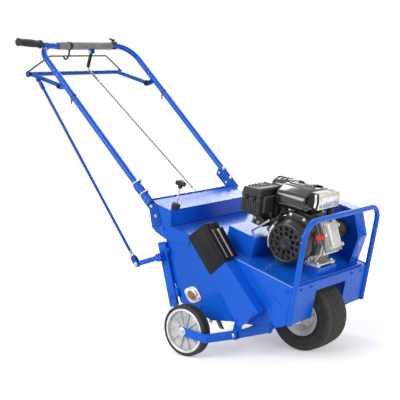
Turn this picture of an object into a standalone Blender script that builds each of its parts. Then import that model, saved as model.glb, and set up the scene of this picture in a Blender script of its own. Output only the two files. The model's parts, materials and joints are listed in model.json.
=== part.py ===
"""Walk-behind lawn aerator: a sheet-metal body on one front and two rear wheels, with a driven tine drum.

Sizes are in millimetres here and metres in the scene. +X is forward, +Y is the machine's left, +Z is up.
The body is pitched nose down, as it stands when the rear wheels hold the tines off the ground.
(u, w) are body coordinates: u runs forward along the deck, w is the height above the deck.
"""

import math

import bmesh
import bpy
from mathutils import Matrix, Vector
from mathutils.geometry import tessellate_polygon

MM = 0.001
GAP = 0.3

# Stance
PITCH = math.radians(16.0)
DECK_Z = 430.4
FRAME_SHIFT = 248.2

# Body sheet metal
SHEET = 4.0
SIDE_OUT = 275.0
SIDE_IN = SIDE_OUT - SHEET
DECK_FRONT_U = 438.0
NOSE_LOW_U = 452.0
NOSE_DEPTH = 150.0
WHEEL_CUT_HALF = 110.0
WHEEL_CUT_TOP = -40.0

# Wheels
REAR_RADIUS = 101.6
REAR_WIDTH = 44.0
REAR_OUT_Y = SIDE_OUT + 127.3
REAR_BORE = 8.5
REAR_RUBBER = 13.6
HUB_RIBS = 8
FRONT_RADIUS = 140.4
FRONT_WIDTH = 140.0
FRONT_RIM = 74.0
FRONT_U = 384.0
FRONT_W = -191.5
FRONT_AXLE = 10.0

# Tine drum
DRUM_U = 10.0
DRUM_W = -221.7
DRUM_TIP = 170.0
DRUM_SHAFT = 15.0
TINE_WHEELS = 5
TINES_EACH = 6
TINE_PITCH_Y = (SIDE_OUT - 79.0) / 2
TINE_OUT = 10.5
TINE_IN = 7.3
TINE_STEP = math.radians(12.0)

# Lift linkage
YOKE_U = FRONT_U - 135.8
YOKE_W = -285.0
YOKE_SHAFT = 11.0
YOKE_LEVER = (122.0, 212.3)
CRANK_U = -172.0
CRANK_W = -131.0
CRANK_SHAFT = 10.0
CRANK_END = (-322.0, 309.0)
CRANK_LOW = (-239.9, 248.9)
ROD_Y = SIDE_OUT + 34.0
LEVER_Y = SIDE_OUT + 21.0
LINK_Y = SIDE_OUT + 29.5
BAIL_PIVOT = (-777.0, 1025.0)
BAIL_ROD = (-888.0, 1053.0)
BAIL_BAR = (-968.0, 1074.0)
BAIL_TUBE = 9.5
BAIL_ARM_Y = SIDE_OUT + 4.0
BAIL_END = 21.0

# Handle
LEG_Y = SIDE_OUT + 20.4
LEG_FOOT = (-262.0, 568.0)
GRIP_BAR = (-908.0, 1197.0)
HANDLE_TUBE = 12.7
HANDLE_BEND = 90.0
THROTTLE_Y = LEG_Y - 105.4
STUB = [(-902.0, 110.4 - LEG_Y, 1197.0), (-888.0, -LEG_Y - 124.6, 1213.0)]

# Bull bar
BAR_Y = SIDE_OUT - 5.7
BAR_TUBE = 11.0
BAR_FOOT = (457.0, -148.0)
BAR_TOP = (420.5, 254.0)
BAR_BEND = 62.0

# Drive
JACK_U = 118.0
JACK_W = -32.0
JACK_SHAFT = 10.0
ENGINE_U = 220.0
ENGINE_W = 3.0
ENGINE_RISE = math.radians(8.0)
ENGINE_FOOT = 92.0
CRANK_H = 92.0
CYLINDER_ROOT = (24.0, 84.0)
CYLINDER_LEAN = math.radians(24.0)
CAP_AT = (-18.0, -20.0)
BELT_Y = SIDE_OUT - 51.0
ENGINE_PULLEY = 34.0
JACK_PULLEY = 68.0
CHAIN_Y = SIDE_OUT - 23.0
JACK_SPROCKET = 20.0
DRUM_SPROCKET = 66.0

# Guards
GUARD_DEPTH = 55.0
GUARD = [(-5, 15), (45, 75), (153, -5), (351, -130), (282, -223), (240, -190), (107, -79)]
BOX = [(-41, 18), (22, 101), (158, -3), (102, -84)]
BOX_SKIN = 4.0
HOOD_OUT = SIDE_OUT + 3.6
KNOB_AT = (-199.0, 35.0 - SIDE_OUT)


def tilt(u, w):
    """World x and z of a body point."""
    return (u * math.cos(PITCH) + w * math.sin(PITCH),
            DECK_Z - u * math.sin(PITCH) + w * math.cos(PITCH))


def untilt(x, z):
    """Body point of a world x and z."""
    return (x * math.cos(PITCH) - (z - DECK_Z) * math.sin(PITCH),
            x * math.sin(PITCH) + (z - DECK_Z) * math.cos(PITCH))


def world(x, y, z):
    return Vector((x, y, z))


def body(u, y, w):
    x, z = tilt(u, w)
    return Vector((x, y, z))


def engine_uw(x, z):
    """Body point of an engine point; the engine is turned nose up about its rear feet."""
    ahead = x + ENGINE_FOOT
    return (ENGINE_U + ahead * math.cos(ENGINE_RISE) - z * math.sin(ENGINE_RISE),
            ENGINE_W + ahead * math.sin(ENGINE_RISE) + z * math.cos(ENGINE_RISE))


def engine(x, y, z):
    u, w = engine_uw(x, z)
    return body(u, y, w)


def bore_for(radius, count=12):
    """Radius of a bore drawn with this many sides in which a round shaft turns freely."""
    return (radius + GAP) / math.cos(math.pi / count)


def flat(place):
    """A placing function for prisms drawn in a side view and extruded along Y."""
    return lambda p, q, t: place(p, t, q)


def upright(place):
    """A placing function for prisms drawn in plan and extruded upwards."""
    return lambda p, q, t: place(p, q, t)


def across(place):
    """A placing function for prisms drawn in a front view and extruded along the body."""
    return lambda p, q, t: place(t, p, q)


MATERIALS = {
    "blue_paint": ((0.03, 0.10, 0.62), 0.35, 0.0),
    "dark_blue": ((0.02, 0.06, 0.38), 0.4, 0.0),
    "black_plastic": ((0.02, 0.02, 0.022), 0.5, 0.0),
    "black_metal": ((0.03, 0.03, 0.035), 0.4, 0.3),
    "black_rubber": ((0.025, 0.025, 0.025), 0.8, 0.0),
    "tyre_rubber": ((0.035, 0.033, 0.032), 0.85, 0.0),
    "grey_foam": ((0.33, 0.35, 0.36), 0.8, 0.0),
    "grey_plastic": ((0.55, 0.57, 0.58), 0.5, 0.0),
    "cast_aluminium": ((0.55, 0.55, 0.55), 0.45, 0.9),
    "silver_steel": ((0.62, 0.62, 0.63), 0.3, 1.0),
    "zinc_steel": ((0.5, 0.5, 0.5), 0.4, 1.0),
    "raw_steel": ((0.3, 0.3, 0.31), 0.45, 1.0),
    "pale_metal": ((0.75, 0.75, 0.74), 0.4, 0.4),
}


def material(name):
    found = bpy.data.materials.get(name)
    if found:
        return found
    colour, rough, metal = MATERIALS[name]
    made = bpy.data.materials.new(name)
    made.use_nodes = True
    shader = made.node_tree.nodes["Principled BSDF"]
    shader.inputs["Base Color"].default_value = (*colour, 1.0)
    shader.inputs["Roughness"].default_value = rough
    shader.inputs["Metallic"].default_value = metal
    made.diffuse_color = (*colour, 1.0)
    return made


def clear_scene():
    for obj in list(bpy.data.objects):
        bpy.data.objects.remove(obj)


def add_mesh(name, points, faces):
    """A mesh object from millimetre points; every face is turned outwards."""
    mesh = bpy.data.meshes.new(name)
    mesh.from_pydata([Vector(p) * MM for p in points], [], faces)
    work = bmesh.new()
    work.from_mesh(mesh)
    bmesh.ops.recalc_face_normals(work, faces=work.faces)
    work.to_mesh(mesh)
    work.free()
    mesh.update()
    obj = bpy.data.objects.new(name, mesh)
    bpy.context.scene.collection.objects.link(obj)
    return obj


def prism(outline, low, high, place, holes=()):
    """A straight prism with round or polygonal holes; place maps drawing and depth to a point."""
    loops = [list(outline)] + [list(hole) for hole in holes]
    flat_loops = [[Vector((p, q, 0.0)) for p, q in loop] for loop in loops]
    triangles = tessellate_polygon(flat_loops)
    drawn = [point for loop in loops for point in loop]
    count = len(drawn)
    points = [place(p, q, low) for p, q in drawn] + [place(p, q, high) for p, q in drawn]
    faces = [tuple(tri) for tri in triangles]
    faces += [tuple(index + count for index in reversed(tri)) for tri in triangles]
    start = 0
    for loop in loops:
        size = len(loop)
        for i in range(size):
            j = (i + 1) % size
            faces.append((start + i, start + j, start + j + count, start + i + count))
        start += size
    return add_mesh("prism", points, faces)


def circle(p, q, radius, count=12, turn=0.0):
    return [(p + radius * math.cos(turn + 2 * math.pi * k / count),
             q + radius * math.sin(turn + 2 * math.pi * k / count)) for k in range(count)]


def capsule(a, b, radius, count=4):
    """Outline of a straight bar with round ends, from a to b."""
    angle = math.atan2(b[1] - a[1], b[0] - a[0])
    points = []
    for centre, start in ((b, angle - math.pi / 2), (a, angle + math.pi / 2)):
        for k in range(count + 1):
            turn = start + math.pi * k / count
            points.append((centre[0] + radius * math.cos(turn), centre[1] + radius * math.sin(turn)))
    return points


def thick_line(points, width):
    """Outline of an open polyline drawn with a pen of this width, with mitred corners."""
    left = []
    right = []
    for i, point in enumerate(points):
        ahead = points[min(i + 1, len(points) - 1)]
        behind = points[max(i - 1, 0)]
        a = Vector((point[0] - behind[0], point[1] - behind[1]))
        b = Vector((ahead[0] - point[0], ahead[1] - point[1]))
        a = a.normalized() if a.length > 0 else b.normalized()
        b = b.normalized() if b.length > 0 else a
        normal = Vector((-(a.y + b.y), a.x + b.x)).normalized()
        reach = width / 2 / max(0.3, normal.dot(Vector((-a.y, a.x))))
        left.append((point[0] + normal.x * reach, point[1] + normal.y * reach))
        right.append((point[0] - normal.x * reach, point[1] - normal.y * reach))
    return left + right[::-1]


def inset(outline, distance):
    """A convex outline moved inwards by distance."""
    area = sum(a[0] * b[1] - b[0] * a[1] for a, b in zip(outline, outline[1:] + outline[:1]))
    side = 1.0 if area > 0 else -1.0
    lines = []
    for a, b in zip(outline, outline[1:] + outline[:1]):
        step = Vector((b[0] - a[0], b[1] - a[1])).normalized()
        inward = Vector((-step.y, step.x)) * side * distance
        lines.append((Vector(a) + inward, step))
    points = []
    for (p, d), (q, e) in zip(lines[-1:] + lines[:-1], lines):
        cross = d.x * e.y - d.y * e.x
        if abs(cross) < 1e-6:
            points.append((q.x, q.y))
            continue
        s = ((q.x - p.x) * e.y - (q.y - p.y) * e.x) / cross
        points.append((p.x + d.x * s, p.y + d.y * s))
    return points


def rounded(outline, radius, steps=4):
    """An outline with each corner rounded off."""
    points = []
    count = len(outline)
    for i in range(count):
        corner = Vector(outline[i])
        a = (Vector(outline[i - 1]) - corner)
        b = (Vector(outline[(i + 1) % count]) - corner)
        reach = min(radius, a.length * 0.45, b.length * 0.45)
        start = corner + a.normalized() * reach
        end = corner + b.normalized() * reach
        for k in range(steps + 1):
            t = k / steps
            point = start * (1 - t) ** 2 + corner * 2 * t * (1 - t) + end * t ** 2
            points.append((point.x, point.y))
    return points


def lathe(profile, place, count=32):
    """A solid of revolution about Y: profile is a closed loop of (radius, y); place maps x, y, z."""
    points = []
    rings = []
    for radius, y in profile:
        if radius < 1e-6:
            rings.append([len(points)] * count)
            points.append(place(0.0, y, 0.0))
            continue
        ring = []
        for k in range(count):
            turn = 2 * math.pi * k / count
            ring.append(len(points))
            points.append(place(radius * math.cos(turn), y, radius * math.sin(turn)))
        rings.append(ring)
    faces = []
    for a, b in zip(rings, rings[1:] + rings[:1]):
        for k in range(count):
            n = (k + 1) % count
            loop = []
            for index in (a[k], a[n], b[n], b[k]):
                if index not in loop:
                    loop.append(index)
            if len(loop) > 2:
                faces.append(tuple(loop))
    return add_mesh("lathe", points, faces)


def about(x, z):
    """Placing function for a lathe whose axis runs along Y through world x, z."""
    return lambda a, y, b: Vector((x + a, y, z + b))


def rod_y(x, z, radius, low, high, count=12):
    return lathe([(0.0, low), (radius, low), (radius, high), (0.0, high)], about(x, z), count)


def ring_y(x, z, inner, outer, low, high, count=14):
    return lathe([(inner, low), (outer, low), (outer, high), (inner, high)], about(x, z), count)


def filleted(points, bend, steps):
    """A path with each inner corner replaced by a circular arc of radius bend."""
    path = [points[0]]
    for before, corner, after in zip(points, points[1:], points[2:]):
        a = (before - corner).normalized()
        b = (after - corner).normalized()
        half = a.angle(b) / 2
        reach = bend / math.tan(half)
        reach = min(reach, (before - corner).length * 0.49, (after - corner).length * 0.49)
        radius = reach * math.tan(half)
        centre = corner + (a + b).normalized() * (radius / math.sin(half))
        first = corner + a * reach - centre
        last = corner + b * reach - centre
        turn = first.angle(last)
        axis = first.cross(last).normalized()
        for k in range(steps + 1):
            path.append(centre + Matrix.Rotation(turn * k / steps, 3, axis) @ first)
    path.append(points[-1])
    return path


def sweep(points, radius, bend=0.0, steps=5, count=10):
    """A round bar along a path, closed at both ends."""
    path = [Vector(p) for p in points]
    if bend:
        path = filleted(path, bend, steps)
    tangents = []
    for i in range(len(path)):
        ahead = path[min(i + 1, len(path) - 1)] - path[max(i - 1, 0)]
        tangents.append(ahead.normalized())
    side = tangents[0].orthogonal().normalized()
    verts = []
    for i, (point, tangent) in enumerate(zip(path, tangents)):
        side = (side - tangent * side.dot(tangent)).normalized()
        up = tangent.cross(side)
        if 0 < i < len(path) - 1:
            a = (path[i] - path[i - 1]).normalized()
            stretch = 1.0 / max(0.5, a.dot(tangent))
            bend_way = (path[i + 1] - path[i]).normalized() - a
        else:
            stretch = 1.0
            bend_way = Vector((0, 0, 0))
        if bend_way.length > 1e-6:
            bend_way = (bend_way - tangent * bend_way.dot(tangent)).normalized()
        for k in range(count):
            turn = 2 * math.pi * k / count
            offset = side * math.cos(turn) + up * math.sin(turn)
            if bend_way.length > 0.5:
                offset = offset + bend_way * offset.dot(bend_way) * (stretch - 1.0)
            verts.append(point + offset * radius)
    faces = []
    for i in range(len(path) - 1):
        for k in range(count):
            n = (k + 1) % count
            faces.append((i * count + k, i * count + n, (i + 1) * count + n, (i + 1) * count + k))
    faces.append(tuple(range(count)))
    faces.append(tuple(range((len(path) - 1) * count, len(path) * count)))
    return add_mesh("sweep", verts, faces)


def box(p0, p1, q0, q1, t0, t1, place):
    """A block between three pairs of limits, placed as x, y, z."""
    return prism([(p0, q0), (p1, q0), (p1, q1), (p0, q1)], t0, t1, upright(place))


def combine(kind, base, others):
    """Boolean union or difference of base with others, which are used up."""
    for other in others:
        change = base.modifiers.new("change", "BOOLEAN")
        change.operation = kind
        change.solver = "EXACT"
        change.object = other
        bpy.context.view_layer.update()
        graph = bpy.context.evaluated_depsgraph_get()
        mesh = bpy.data.meshes.new_from_object(base.evaluated_get(graph))
        base.modifiers.clear()
        base.data = mesh
        bpy.data.objects.remove(other)
    return base


def join(base, *others):
    return combine("UNION", base, others)


def cut(base, *others):
    return combine("DIFFERENCE", base, others)


def finish(obj, name, slot, origin, smooth=False):
    """Names an object, gives it its material and moves its origin to a joint axis or centre."""
    obj.name = name
    obj.data.name = name
    obj.data.materials.clear()
    obj.data.materials.append(material(slot))
    shift = Vector((FRAME_SHIFT, 0.0, 0.0))
    centre = (Vector(origin) + shift) * MM
    obj.data.transform(Matrix.Translation(shift * MM - centre))
    obj.location = centre
    for face in obj.data.polygons:
        face.use_smooth = smooth
    if smooth:
        obj.data.set_sharp_from_angle(angle=math.radians(35.0))
    return obj


def side_plate(sign, name):
    """A side plate of the body, with the drum shaft and jackshaft holes."""
    outline = [(-168, -GAP), (-66, -GAP), (-66, 0), (431, 0), (445, -150), (437, -162),
               (371, -195), (204, -249), (121, -285), (-43, -280), (-156, -130), (-183, -65)]
    holes = [circle(DRUM_U, DRUM_W, DRUM_SHAFT + 5), circle(JACK_U, JACK_W, JACK_SHAFT + 1)]
    plate = prism(outline, sign * SIDE_IN, sign * SIDE_OUT, flat(body), holes)
    if sign < 0:
        creases = [((300, -52), (410, -88), 5), ((322, -86), (372, -128), 5)]
    else:
        creases = [((200, -60), (330, -70), 9), ((352, -50), (378, -140), 8)]
    pressed = [prism(capsule(a, b, r, 2), sign * (SIDE_OUT - 1), sign * (SIDE_OUT + 3), flat(body))
               for a, b, r in creases]
    notch = prism(circle(FRONT_U, FRONT_W, FRONT_AXLE + 1.5), sign * (SIDE_IN - 5), sign * (SIDE_OUT + 5),
                  flat(body))
    plate = cut(join(plate, *pressed), notch)
    return finish(plate, name, "blue_paint", body(DRUM_U, 0, DRUM_W))


def deck_plate():
    """The level top sheet, slotted on the left for the belt, with the riser under the engine."""
    wide = SIDE_IN - GAP
    narrow = BAR_Y - BAR_TUBE - GAP
    back_u = -178.0
    leg_u = 430.0
    outline = [(back_u, -wide), (leg_u, -wide), (leg_u, -narrow), (DECK_FRONT_U, -narrow),
               (DECK_FRONT_U, narrow), (leg_u, narrow), (leg_u, wide), (back_u, wide)]
    slot = [(38, BELT_Y - 16), (300, BELT_Y - 16), (300, BELT_Y + 16), (38, BELT_Y + 16)]
    plate = prism(outline, -SHEET, 0, upright(body), [slot])
    low = engine_uw(-60, -2.6 - GAP)
    high = engine_uw(98, -2.6 - GAP)
    riser = prism([low, high, (high[0] + 4, -1), (low[0], -1)], -72, 68, flat(body))
    plate = join(plate, riser)
    return finish(plate, "deck_plate", "blue_paint", body(0, 0, 0))


def front_plate():
    """The nose plate between the bull bar legs, cut out round the front wheel."""
    half = BAR_Y - BAR_TUBE - GAP
    drop = NOSE_DEPTH
    lean = (NOSE_LOW_U - DECK_FRONT_U) / drop
    cut_y = WHEEL_CUT_HALF
    outline = [(-half, -drop), (-cut_y, -drop), (-cut_y, WHEEL_CUT_TOP), (cut_y, WHEEL_CUT_TOP),
               (cut_y, -drop), (half, -drop), (half, 0), (-half, 0)]

    def place(p, q, t):
        return body(DECK_FRONT_U + GAP + t - q * lean, p, q)

    return finish(prism(outline, 0, SHEET, place), "front_plate", "blue_paint", body(DECK_FRONT_U, 0, 0))


def hood():
    """The raised rear housing: top, front and back sheets between two cheeks."""
    side = [(-190, 63), (-317, 60), (-265, -41), (-240, -52), (-186, -61), (-66, -37), (-66, GAP),
            (-172, GAP)]
    inner = HOOD_OUT - 3.0
    line = [(-262, -38), (-315, 58.5), (-191, 61.5), (-173, 1.4)]
    skin = prism(thick_line(line, 3.0), -inner - 1.5, inner + 1.5, flat(body))
    cheeks = [prism(side, s * inner, s * HOOD_OUT, flat(body)) for s in (-1, 1)]
    shell = join(skin, *cheeks)
    hole = rod_axis_w(*KNOB_AT, 5.5, 55, 70, 10)
    shell = cut(shell, hole)
    return finish(shell, "hood", "blue_paint", body(-250, 0, 0))


def rod_axis_w(u, y, radius, low, high, count=16):
    """A round bar standing square to the deck."""
    return prism(circle(u, y, radius, count), low, high, upright(body))


def hood_knob():
    """Three-lobed knob on a thin stud that stands on the hood."""
    lobes = []
    for k in range(24):
        turn = 2 * math.pi * k / 24
        reach = 19.0 + 5.0 * math.cos(3 * turn)
        lobes.append((KNOB_AT[0] + reach * math.cos(turn), KNOB_AT[1] + reach * math.sin(turn)))
    knob = prism(lobes, 165, 183, upright(body))
    neck = rod_axis_w(*KNOB_AT, 9, 152, 166, 10)
    stud = rod_axis_w(*KNOB_AT, 4, 48, 153, 10)
    return finish(join(knob, neck, stud), "hood_knob", "black_plastic", body(*KNOB_AT, 120), True)


def knob_block():
    """The rubber block under the knob, at the hood's front edge."""
    u, y = KNOB_AT
    outline = [(u - 15, y - 12), (u + 15, y - 12), (u + 15, y + 12), (u - 15, y + 12)]
    hole = circle(u, y, 4.6, 10)
    block = prism(rounded(outline, 4, 2), 63.7, 84, upright(body), [hole])
    return finish(block, "knob_block", "black_rubber", body(*KNOB_AT, 70))


def drive_cover():
    """The sheet box on the deck behind the engine, open below."""
    back, front, top = 45, 178, 81
    right, left = -195, BELT_Y - 38
    wall = 3
    block = prism([(back, GAP), (back, top), (front, top), (front, GAP)], right, left, flat(body))
    room = [(back + wall, -20), (back + wall, top - wall), (front - wall, top - wall), (front - wall, -20)]
    hollow = prism(room, right + wall, left - wall, flat(body))
    return finish(cut(block, hollow), "drive_cover", "blue_paint", body(110, 0, 0))


def belt_guard():
    """The left guard over the belt, with the chevron front, open towards the engine and below."""
    outline = [(26, GAP), (26, 70), (190, 214), (355, 220), (408, 120), (400, GAP)]
    inner = [(30, -10), (30, 68.5), (191.5, 210), (352.6, 216), (403.8, 119.4), (395.4, -10)]
    shell = prism(outline, BELT_Y - 32, SIDE_OUT - 13, flat(body))
    hollow = prism(inner, BELT_Y - 44, SIDE_OUT - 17, flat(body))
    shell = cut(shell, hollow)
    return finish(shell, "belt_guard", "blue_paint", body(220, 225, 0))


def chain_guard():
    """The slanting right guard over the chain, open towards the body."""
    low = -SIDE_OUT - GAP
    high = -SIDE_OUT - GUARD_DEPTH
    shell = prism(GUARD, low, high, flat(body))
    hollow = prism(inset(GUARD, 3.0), low + 5, high + 3, flat(body))
    return finish(cut(shell, hollow), "chain_guard", "blue_paint", body(180, -300, -70))


def ribbed_box():
    """The black ribbed case that is fitted over the upper end of the chain guard."""
    low = -SIDE_OUT - GAP
    high = low - GUARD_DEPTH - BOX_SKIN
    block = prism(rounded(BOX, 6, 1), low, high, flat(body))
    a = Vector(BOX[1])
    b = Vector(BOX[2])
    along = (b - a).normalized()
    out = Vector((-along.y, along.x))
    ribs = []
    for k in range(3):
        y = high + 9 + k * 17
        start = a + along * 12
        end = b - along * 12
        outline = [start - out * 2, start + out * 3.5, end + out * 3.5, end - out * 2]
        ribs.append(prism([(p.x, p.y) for p in outline], y - 4, y + 4, flat(body)))
    socket = prism(inset(GUARD, -0.4), low + 5, high + BOX_SKIN, flat(body))
    return finish(cut(join(block, *ribs), socket), "ribbed_box", "black_plastic", body(60, -300, 10))


def rear_rail(sign, name):
    """The strap behind a side plate, standing off it on two pads; the lift shaft turns in it."""
    line = [(-196, -76), (-62, -306)]
    bore = circle(CRANK_U, CRANK_W, bore_for(CRANK_SHAFT))
    near = SIDE_OUT + 11
    strap = prism(thick_line(line, 34), sign * near, sign * (near + 5), flat(body), [bore])
    pads = []
    for outline in ([(-188, -88), (-150, -88), (-150, -112), (-180, -112)],
                    [(-104, -232), (-62, -232), (-50, -258), (-92, -258)]):
        pads.append(prism(outline, sign * (SIDE_OUT + GAP), sign * (near + 1), flat(body)))
    return finish(join(strap, *pads), name, "blue_paint", body(CRANK_U, 0, CRANK_W))


def lower_bracket(sign, name):
    """The strut under a side plate that carries the front axle and the yoke pivot."""
    near = sign * (SIDE_OUT + GAP)
    far = sign * (SIDE_OUT + GAP + 6)
    holes = [circle(FRONT_U, FRONT_W, bore_for(FRONT_AXLE))]
    strut = prism(capsule((YOKE_U, YOKE_W), (FRONT_U, FRONT_W), 17), near, far, flat(body))
    plate = prism([(232, -214), (256, -214), (266, -240), (266, -296), (252, -303), (232, -298)],
                  near, far, flat(body))
    joined = join(strut, plate)
    bores = [prism(circle(YOKE_U, YOKE_W, bore_for(YOKE_SHAFT)), near - sign * 5, far + sign * 5, flat(body)),
             prism(holes[0], near - sign * 5, far + sign * 5, flat(body))]
    return finish(cut(joined, *bores), name, "dark_blue", body(YOKE_U, 0, YOKE_W))


def front_axle():
    x, z = tilt(FRONT_U, FRONT_W)
    reach = SIDE_OUT + 8.0
    profile = [(0, -reach - 8), (15, -reach - 8), (15, -reach), (FRONT_AXLE, -reach)]
    profile += [(r, -y) for r, y in reversed(profile)]
    return finish(lathe(profile, about(x, z), 12), "front_axle", "zinc_steel", world(x, 0, z), True)


def drum_bearing(sign, name):
    """A diamond flange bearing on the outside of a side plate."""
    outline = []
    for turn, reach in ((8, 42), (50, 27), (90, 33), (130, 27), (172, 42), (188, 42), (230, 27), (270, 33),
                        (310, 27), (352, 42)):
        angle = math.radians(turn)
        outline.append((DRUM_U + reach * math.cos(angle), DRUM_W + reach * math.sin(angle)))
    near = SIDE_OUT + GAP
    bore = bore_for(DRUM_SHAFT)
    flange = prism(outline, sign * near, sign * (near + 6), flat(body), [circle(DRUM_U, DRUM_W, bore + 4)])
    x, z = tilt(DRUM_U, DRUM_W)
    boss = ring_y(x, z, bore, 23, sign * (near + 0.6), sign * (near + 15), 12)
    return finish(join(flange, boss), name, "pale_metal", body(DRUM_U, 0, DRUM_W), True)


def tine_wheel(index):
    """One star plate of the drum with its spoon tines, which are half tubes cut off at a slant."""
    y = (index - (TINE_WHEELS - 1) / 2) * TINE_PITCH_Y
    x0, z0 = tilt(DRUM_U, DRUM_W)
    outline = []
    phase = index * TINE_STEP
    arm = 12.0
    for k in range(TINES_EACH):
        turn = phase + 2 * math.pi * k / TINES_EACH
        half = math.pi / TINES_EACH
        outline.append((x0 + 44 * math.cos(turn - half), z0 + 44 * math.sin(turn - half)))
        for side, reach in ((-arm, 48), (-arm, 104), (arm, 104), (arm, 48)):
            outline.append((x0 + reach * math.cos(turn) - side * math.sin(turn),
                            z0 + reach * math.sin(turn) + side * math.cos(turn)))
    plate = prism(outline, y - 4, y + 4, flat(world), [circle(x0, z0, DRUM_SHAFT + 6, 12)])
    hub = ring_y(x0, z0, DRUM_SHAFT + GAP, 27, y - 22, y + 22, 12)
    plate = join(plate, hub)
    for k in range(TINES_EACH):
        turn = phase + 2 * math.pi * k / TINES_EACH
        plate = join(plate, tine(x0, y, z0, turn))
    return finish(plate, f"tine_wheel_{index + 1}", "raw_steel", world(x0, y, z0), True)


def tine(x0, y, z0, turn):
    """A spoon tine along one radius: a half tube whose tip is cut at a slant."""
    steps = 4
    start, stop = 92.0, DRUM_TIP
    spread = math.radians(206.0)
    loop = []
    for k in range(steps + 1):
        angle = -spread / 2 + spread * k / steps
        loop.append((TINE_OUT * math.sin(angle), TINE_OUT * math.cos(angle)))
    for k in range(steps, -1, -1):
        angle = -spread / 2 + spread * k / steps
        loop.append((TINE_IN * math.sin(angle), TINE_IN * math.cos(angle)))

    def place(p, q, t):
        tip = t - (TINE_OUT - q) * 0.9 * max(0.0, (t - start) / (stop - start))
        along = Vector((math.cos(turn), 0, math.sin(turn)))
        round_way = Vector((-math.sin(turn), 0, math.cos(turn)))
        return Vector((x0, y, z0)) + along * tip + Vector((0, p, 0)) + round_way * (q - 3)

    return prism(loop, start, stop, place)


def drum_shaft():
    """The drum shaft with its chain sprocket."""
    x, z = tilt(DRUM_U, DRUM_W)
    end = SIDE_OUT + 16.5
    profile = [(0, -end), (DRUM_SHAFT, -end), (DRUM_SHAFT, CHAIN_Y - 14), (26, CHAIN_Y - 14),
               (26, CHAIN_Y + 5), (DRUM_SHAFT, CHAIN_Y + 5), (DRUM_SHAFT, end), (0, end)]
    shaft = lathe(profile, about(x, z), 12)
    wheel = sprocket(DRUM_U, DRUM_W, DRUM_SPROCKET, CHAIN_Y, 18)
    return finish(join(shaft, wheel), "drum_shaft", "raw_steel", world(x, 0, z), True)


def sprocket(u, w, radius, y, teeth):
    """A plain toothed wheel whose teeth stay inside the chain loop."""
    outline = []
    for k in range(teeth):
        turn = 2 * math.pi * k / teeth
        step = 2 * math.pi / teeth
        outline.append((u + (radius - 5) * math.cos(turn), w + (radius - 5) * math.sin(turn)))
        outline.append((u + radius * math.cos(turn + step / 2), w + radius * math.sin(turn + step / 2)))
    return prism(outline, y - 3, y + 3, flat(body))


def loop_band(a, ra, b, rb, y, half, thick, name, slot):
    """A closed belt or chain round two wheels, clear of both."""
    pa = Vector(a)
    pb = Vector(b)
    line = pb - pa
    base = math.atan2(line.y, line.x)
    lean = math.acos((ra - rb) / line.length)
    clear = 1.4

    def track(extra):
        points = []
        count = 12
        for k in range(count + 1):
            turn = base + lean + (2 * math.pi - 2 * lean) * k / count
            points.append((pa.x + (ra + extra) * math.cos(turn), pa.y + (ra + extra) * math.sin(turn)))
        count = 8
        for k in range(count + 1):
            turn = base - lean + 2 * lean * k / count
            points.append((pb.x + (rb + extra) * math.cos(turn), pb.y + (rb + extra) * math.sin(turn)))
        return points

    band = prism(track(clear + thick), y - half, y + half, flat(body), [track(clear)])
    return finish(band, name, slot, body((pa.x + pb.x) / 2, y, (pa.y + pb.y) / 2))


def pulley_steps(radius, y, bore):
    """Profile of a V pulley on its shaft, from low y to high y."""
    hub = max(radius * 0.35, bore + 4)
    return [(bore, y - 14), (hub, y - 14), (hub, y - 8), (radius, y - 8), (radius, y + 8), (hub, y + 8),
            (hub, y + 14), (bore, y + 14)]


def jackshaft():
    """The jackshaft with its pulley and its two sprockets."""
    x, z = tilt(JACK_U, JACK_W)
    low = -SIDE_OUT - 44
    high = SIDE_OUT + 8
    profile = [(0, low), (JACK_SHAFT, low)] + pulley_steps(JACK_PULLEY, BELT_Y, JACK_SHAFT)
    profile += [(JACK_SHAFT, high), (0, high)]
    shaft = lathe(profile, about(x, z), 14)
    parts = [sprocket(JACK_U, JACK_W, JACK_SPROCKET, CHAIN_Y, 8),
             sprocket(JACK_U, JACK_W, JACK_SPROCKET, -SIDE_OUT - 34, 8)]
    return finish(join(shaft, *parts), "jackshaft", "raw_steel", world(x, 0, z), True)


def engine_pulley():
    x, z = tilt(*engine_uw(0, CRANK_H))
    profile = [(0, 98.5), (9.5, 98.5)] + pulley_steps(ENGINE_PULLEY, BELT_Y, 9.5)
    profile += [(9.5, BELT_Y + 18), (0, BELT_Y + 18)]
    return finish(lathe(profile, about(x, z), 14), "engine_pulley", "raw_steel", world(x, BELT_Y, z), True)


def crankcase():
    """The engine's crankcase with its feet and side cover."""
    outline = [(-72, 10), (48, 10), (44.3, 38.3), (3.7, 129.7), (-16, 148), (-44, 152), (-76, 112)]
    case = prism(rounded(outline, 10, 2), -92, 82, flat(engine))
    foot = ENGINE_FOOT
    feet = prism([(-foot, -2.6), (foot, -2.6), (foot, 14), (-foot, 14)], -66, 62, flat(engine))
    x, z = tilt(*engine_uw(0, CRANK_H))
    cover = lathe([(0, 80), (62, 80), (57, 92), (26, 92), (24, 98), (0, 98)], about(x, z), 18)
    return finish(join(case, feet, cover), "crankcase", "cast_aluminium", engine(0, 0, 60), True)


def cylinder():
    """The finned cylinder, head and valve cover, leaning forward and up."""
    lean = CYLINDER_LEAN
    root = CYLINDER_ROOT

    def place(p, q, t):
        a = root[0] + p * math.cos(lean) - q * math.sin(lean)
        b = root[1] + p * math.sin(lean) + q * math.cos(lean)
        return engine(a, t, b)

    core = prism([(GAP, -38), (GAP, 38), (64, 38), (64, 50), (79, 50), (79, -46), (64, -46), (64, -38)],
                 -46, 64, place)
    cover = prism(rounded([(77, -34), (98, -30), (98, 34), (77, 40)], 6, 2), -38, 58, place)
    fins = []
    for k in range(7):
        start = 4 + k * 8.0
        fins.append(prism([(start, -54), (start, 60), (start + 3.5, 60), (start + 3.5, -54)], -62, 74, place))
    return finish(join(core, cover, *fins), "cylinder", "cast_aluminium", engine(110, 0, 110))


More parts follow.
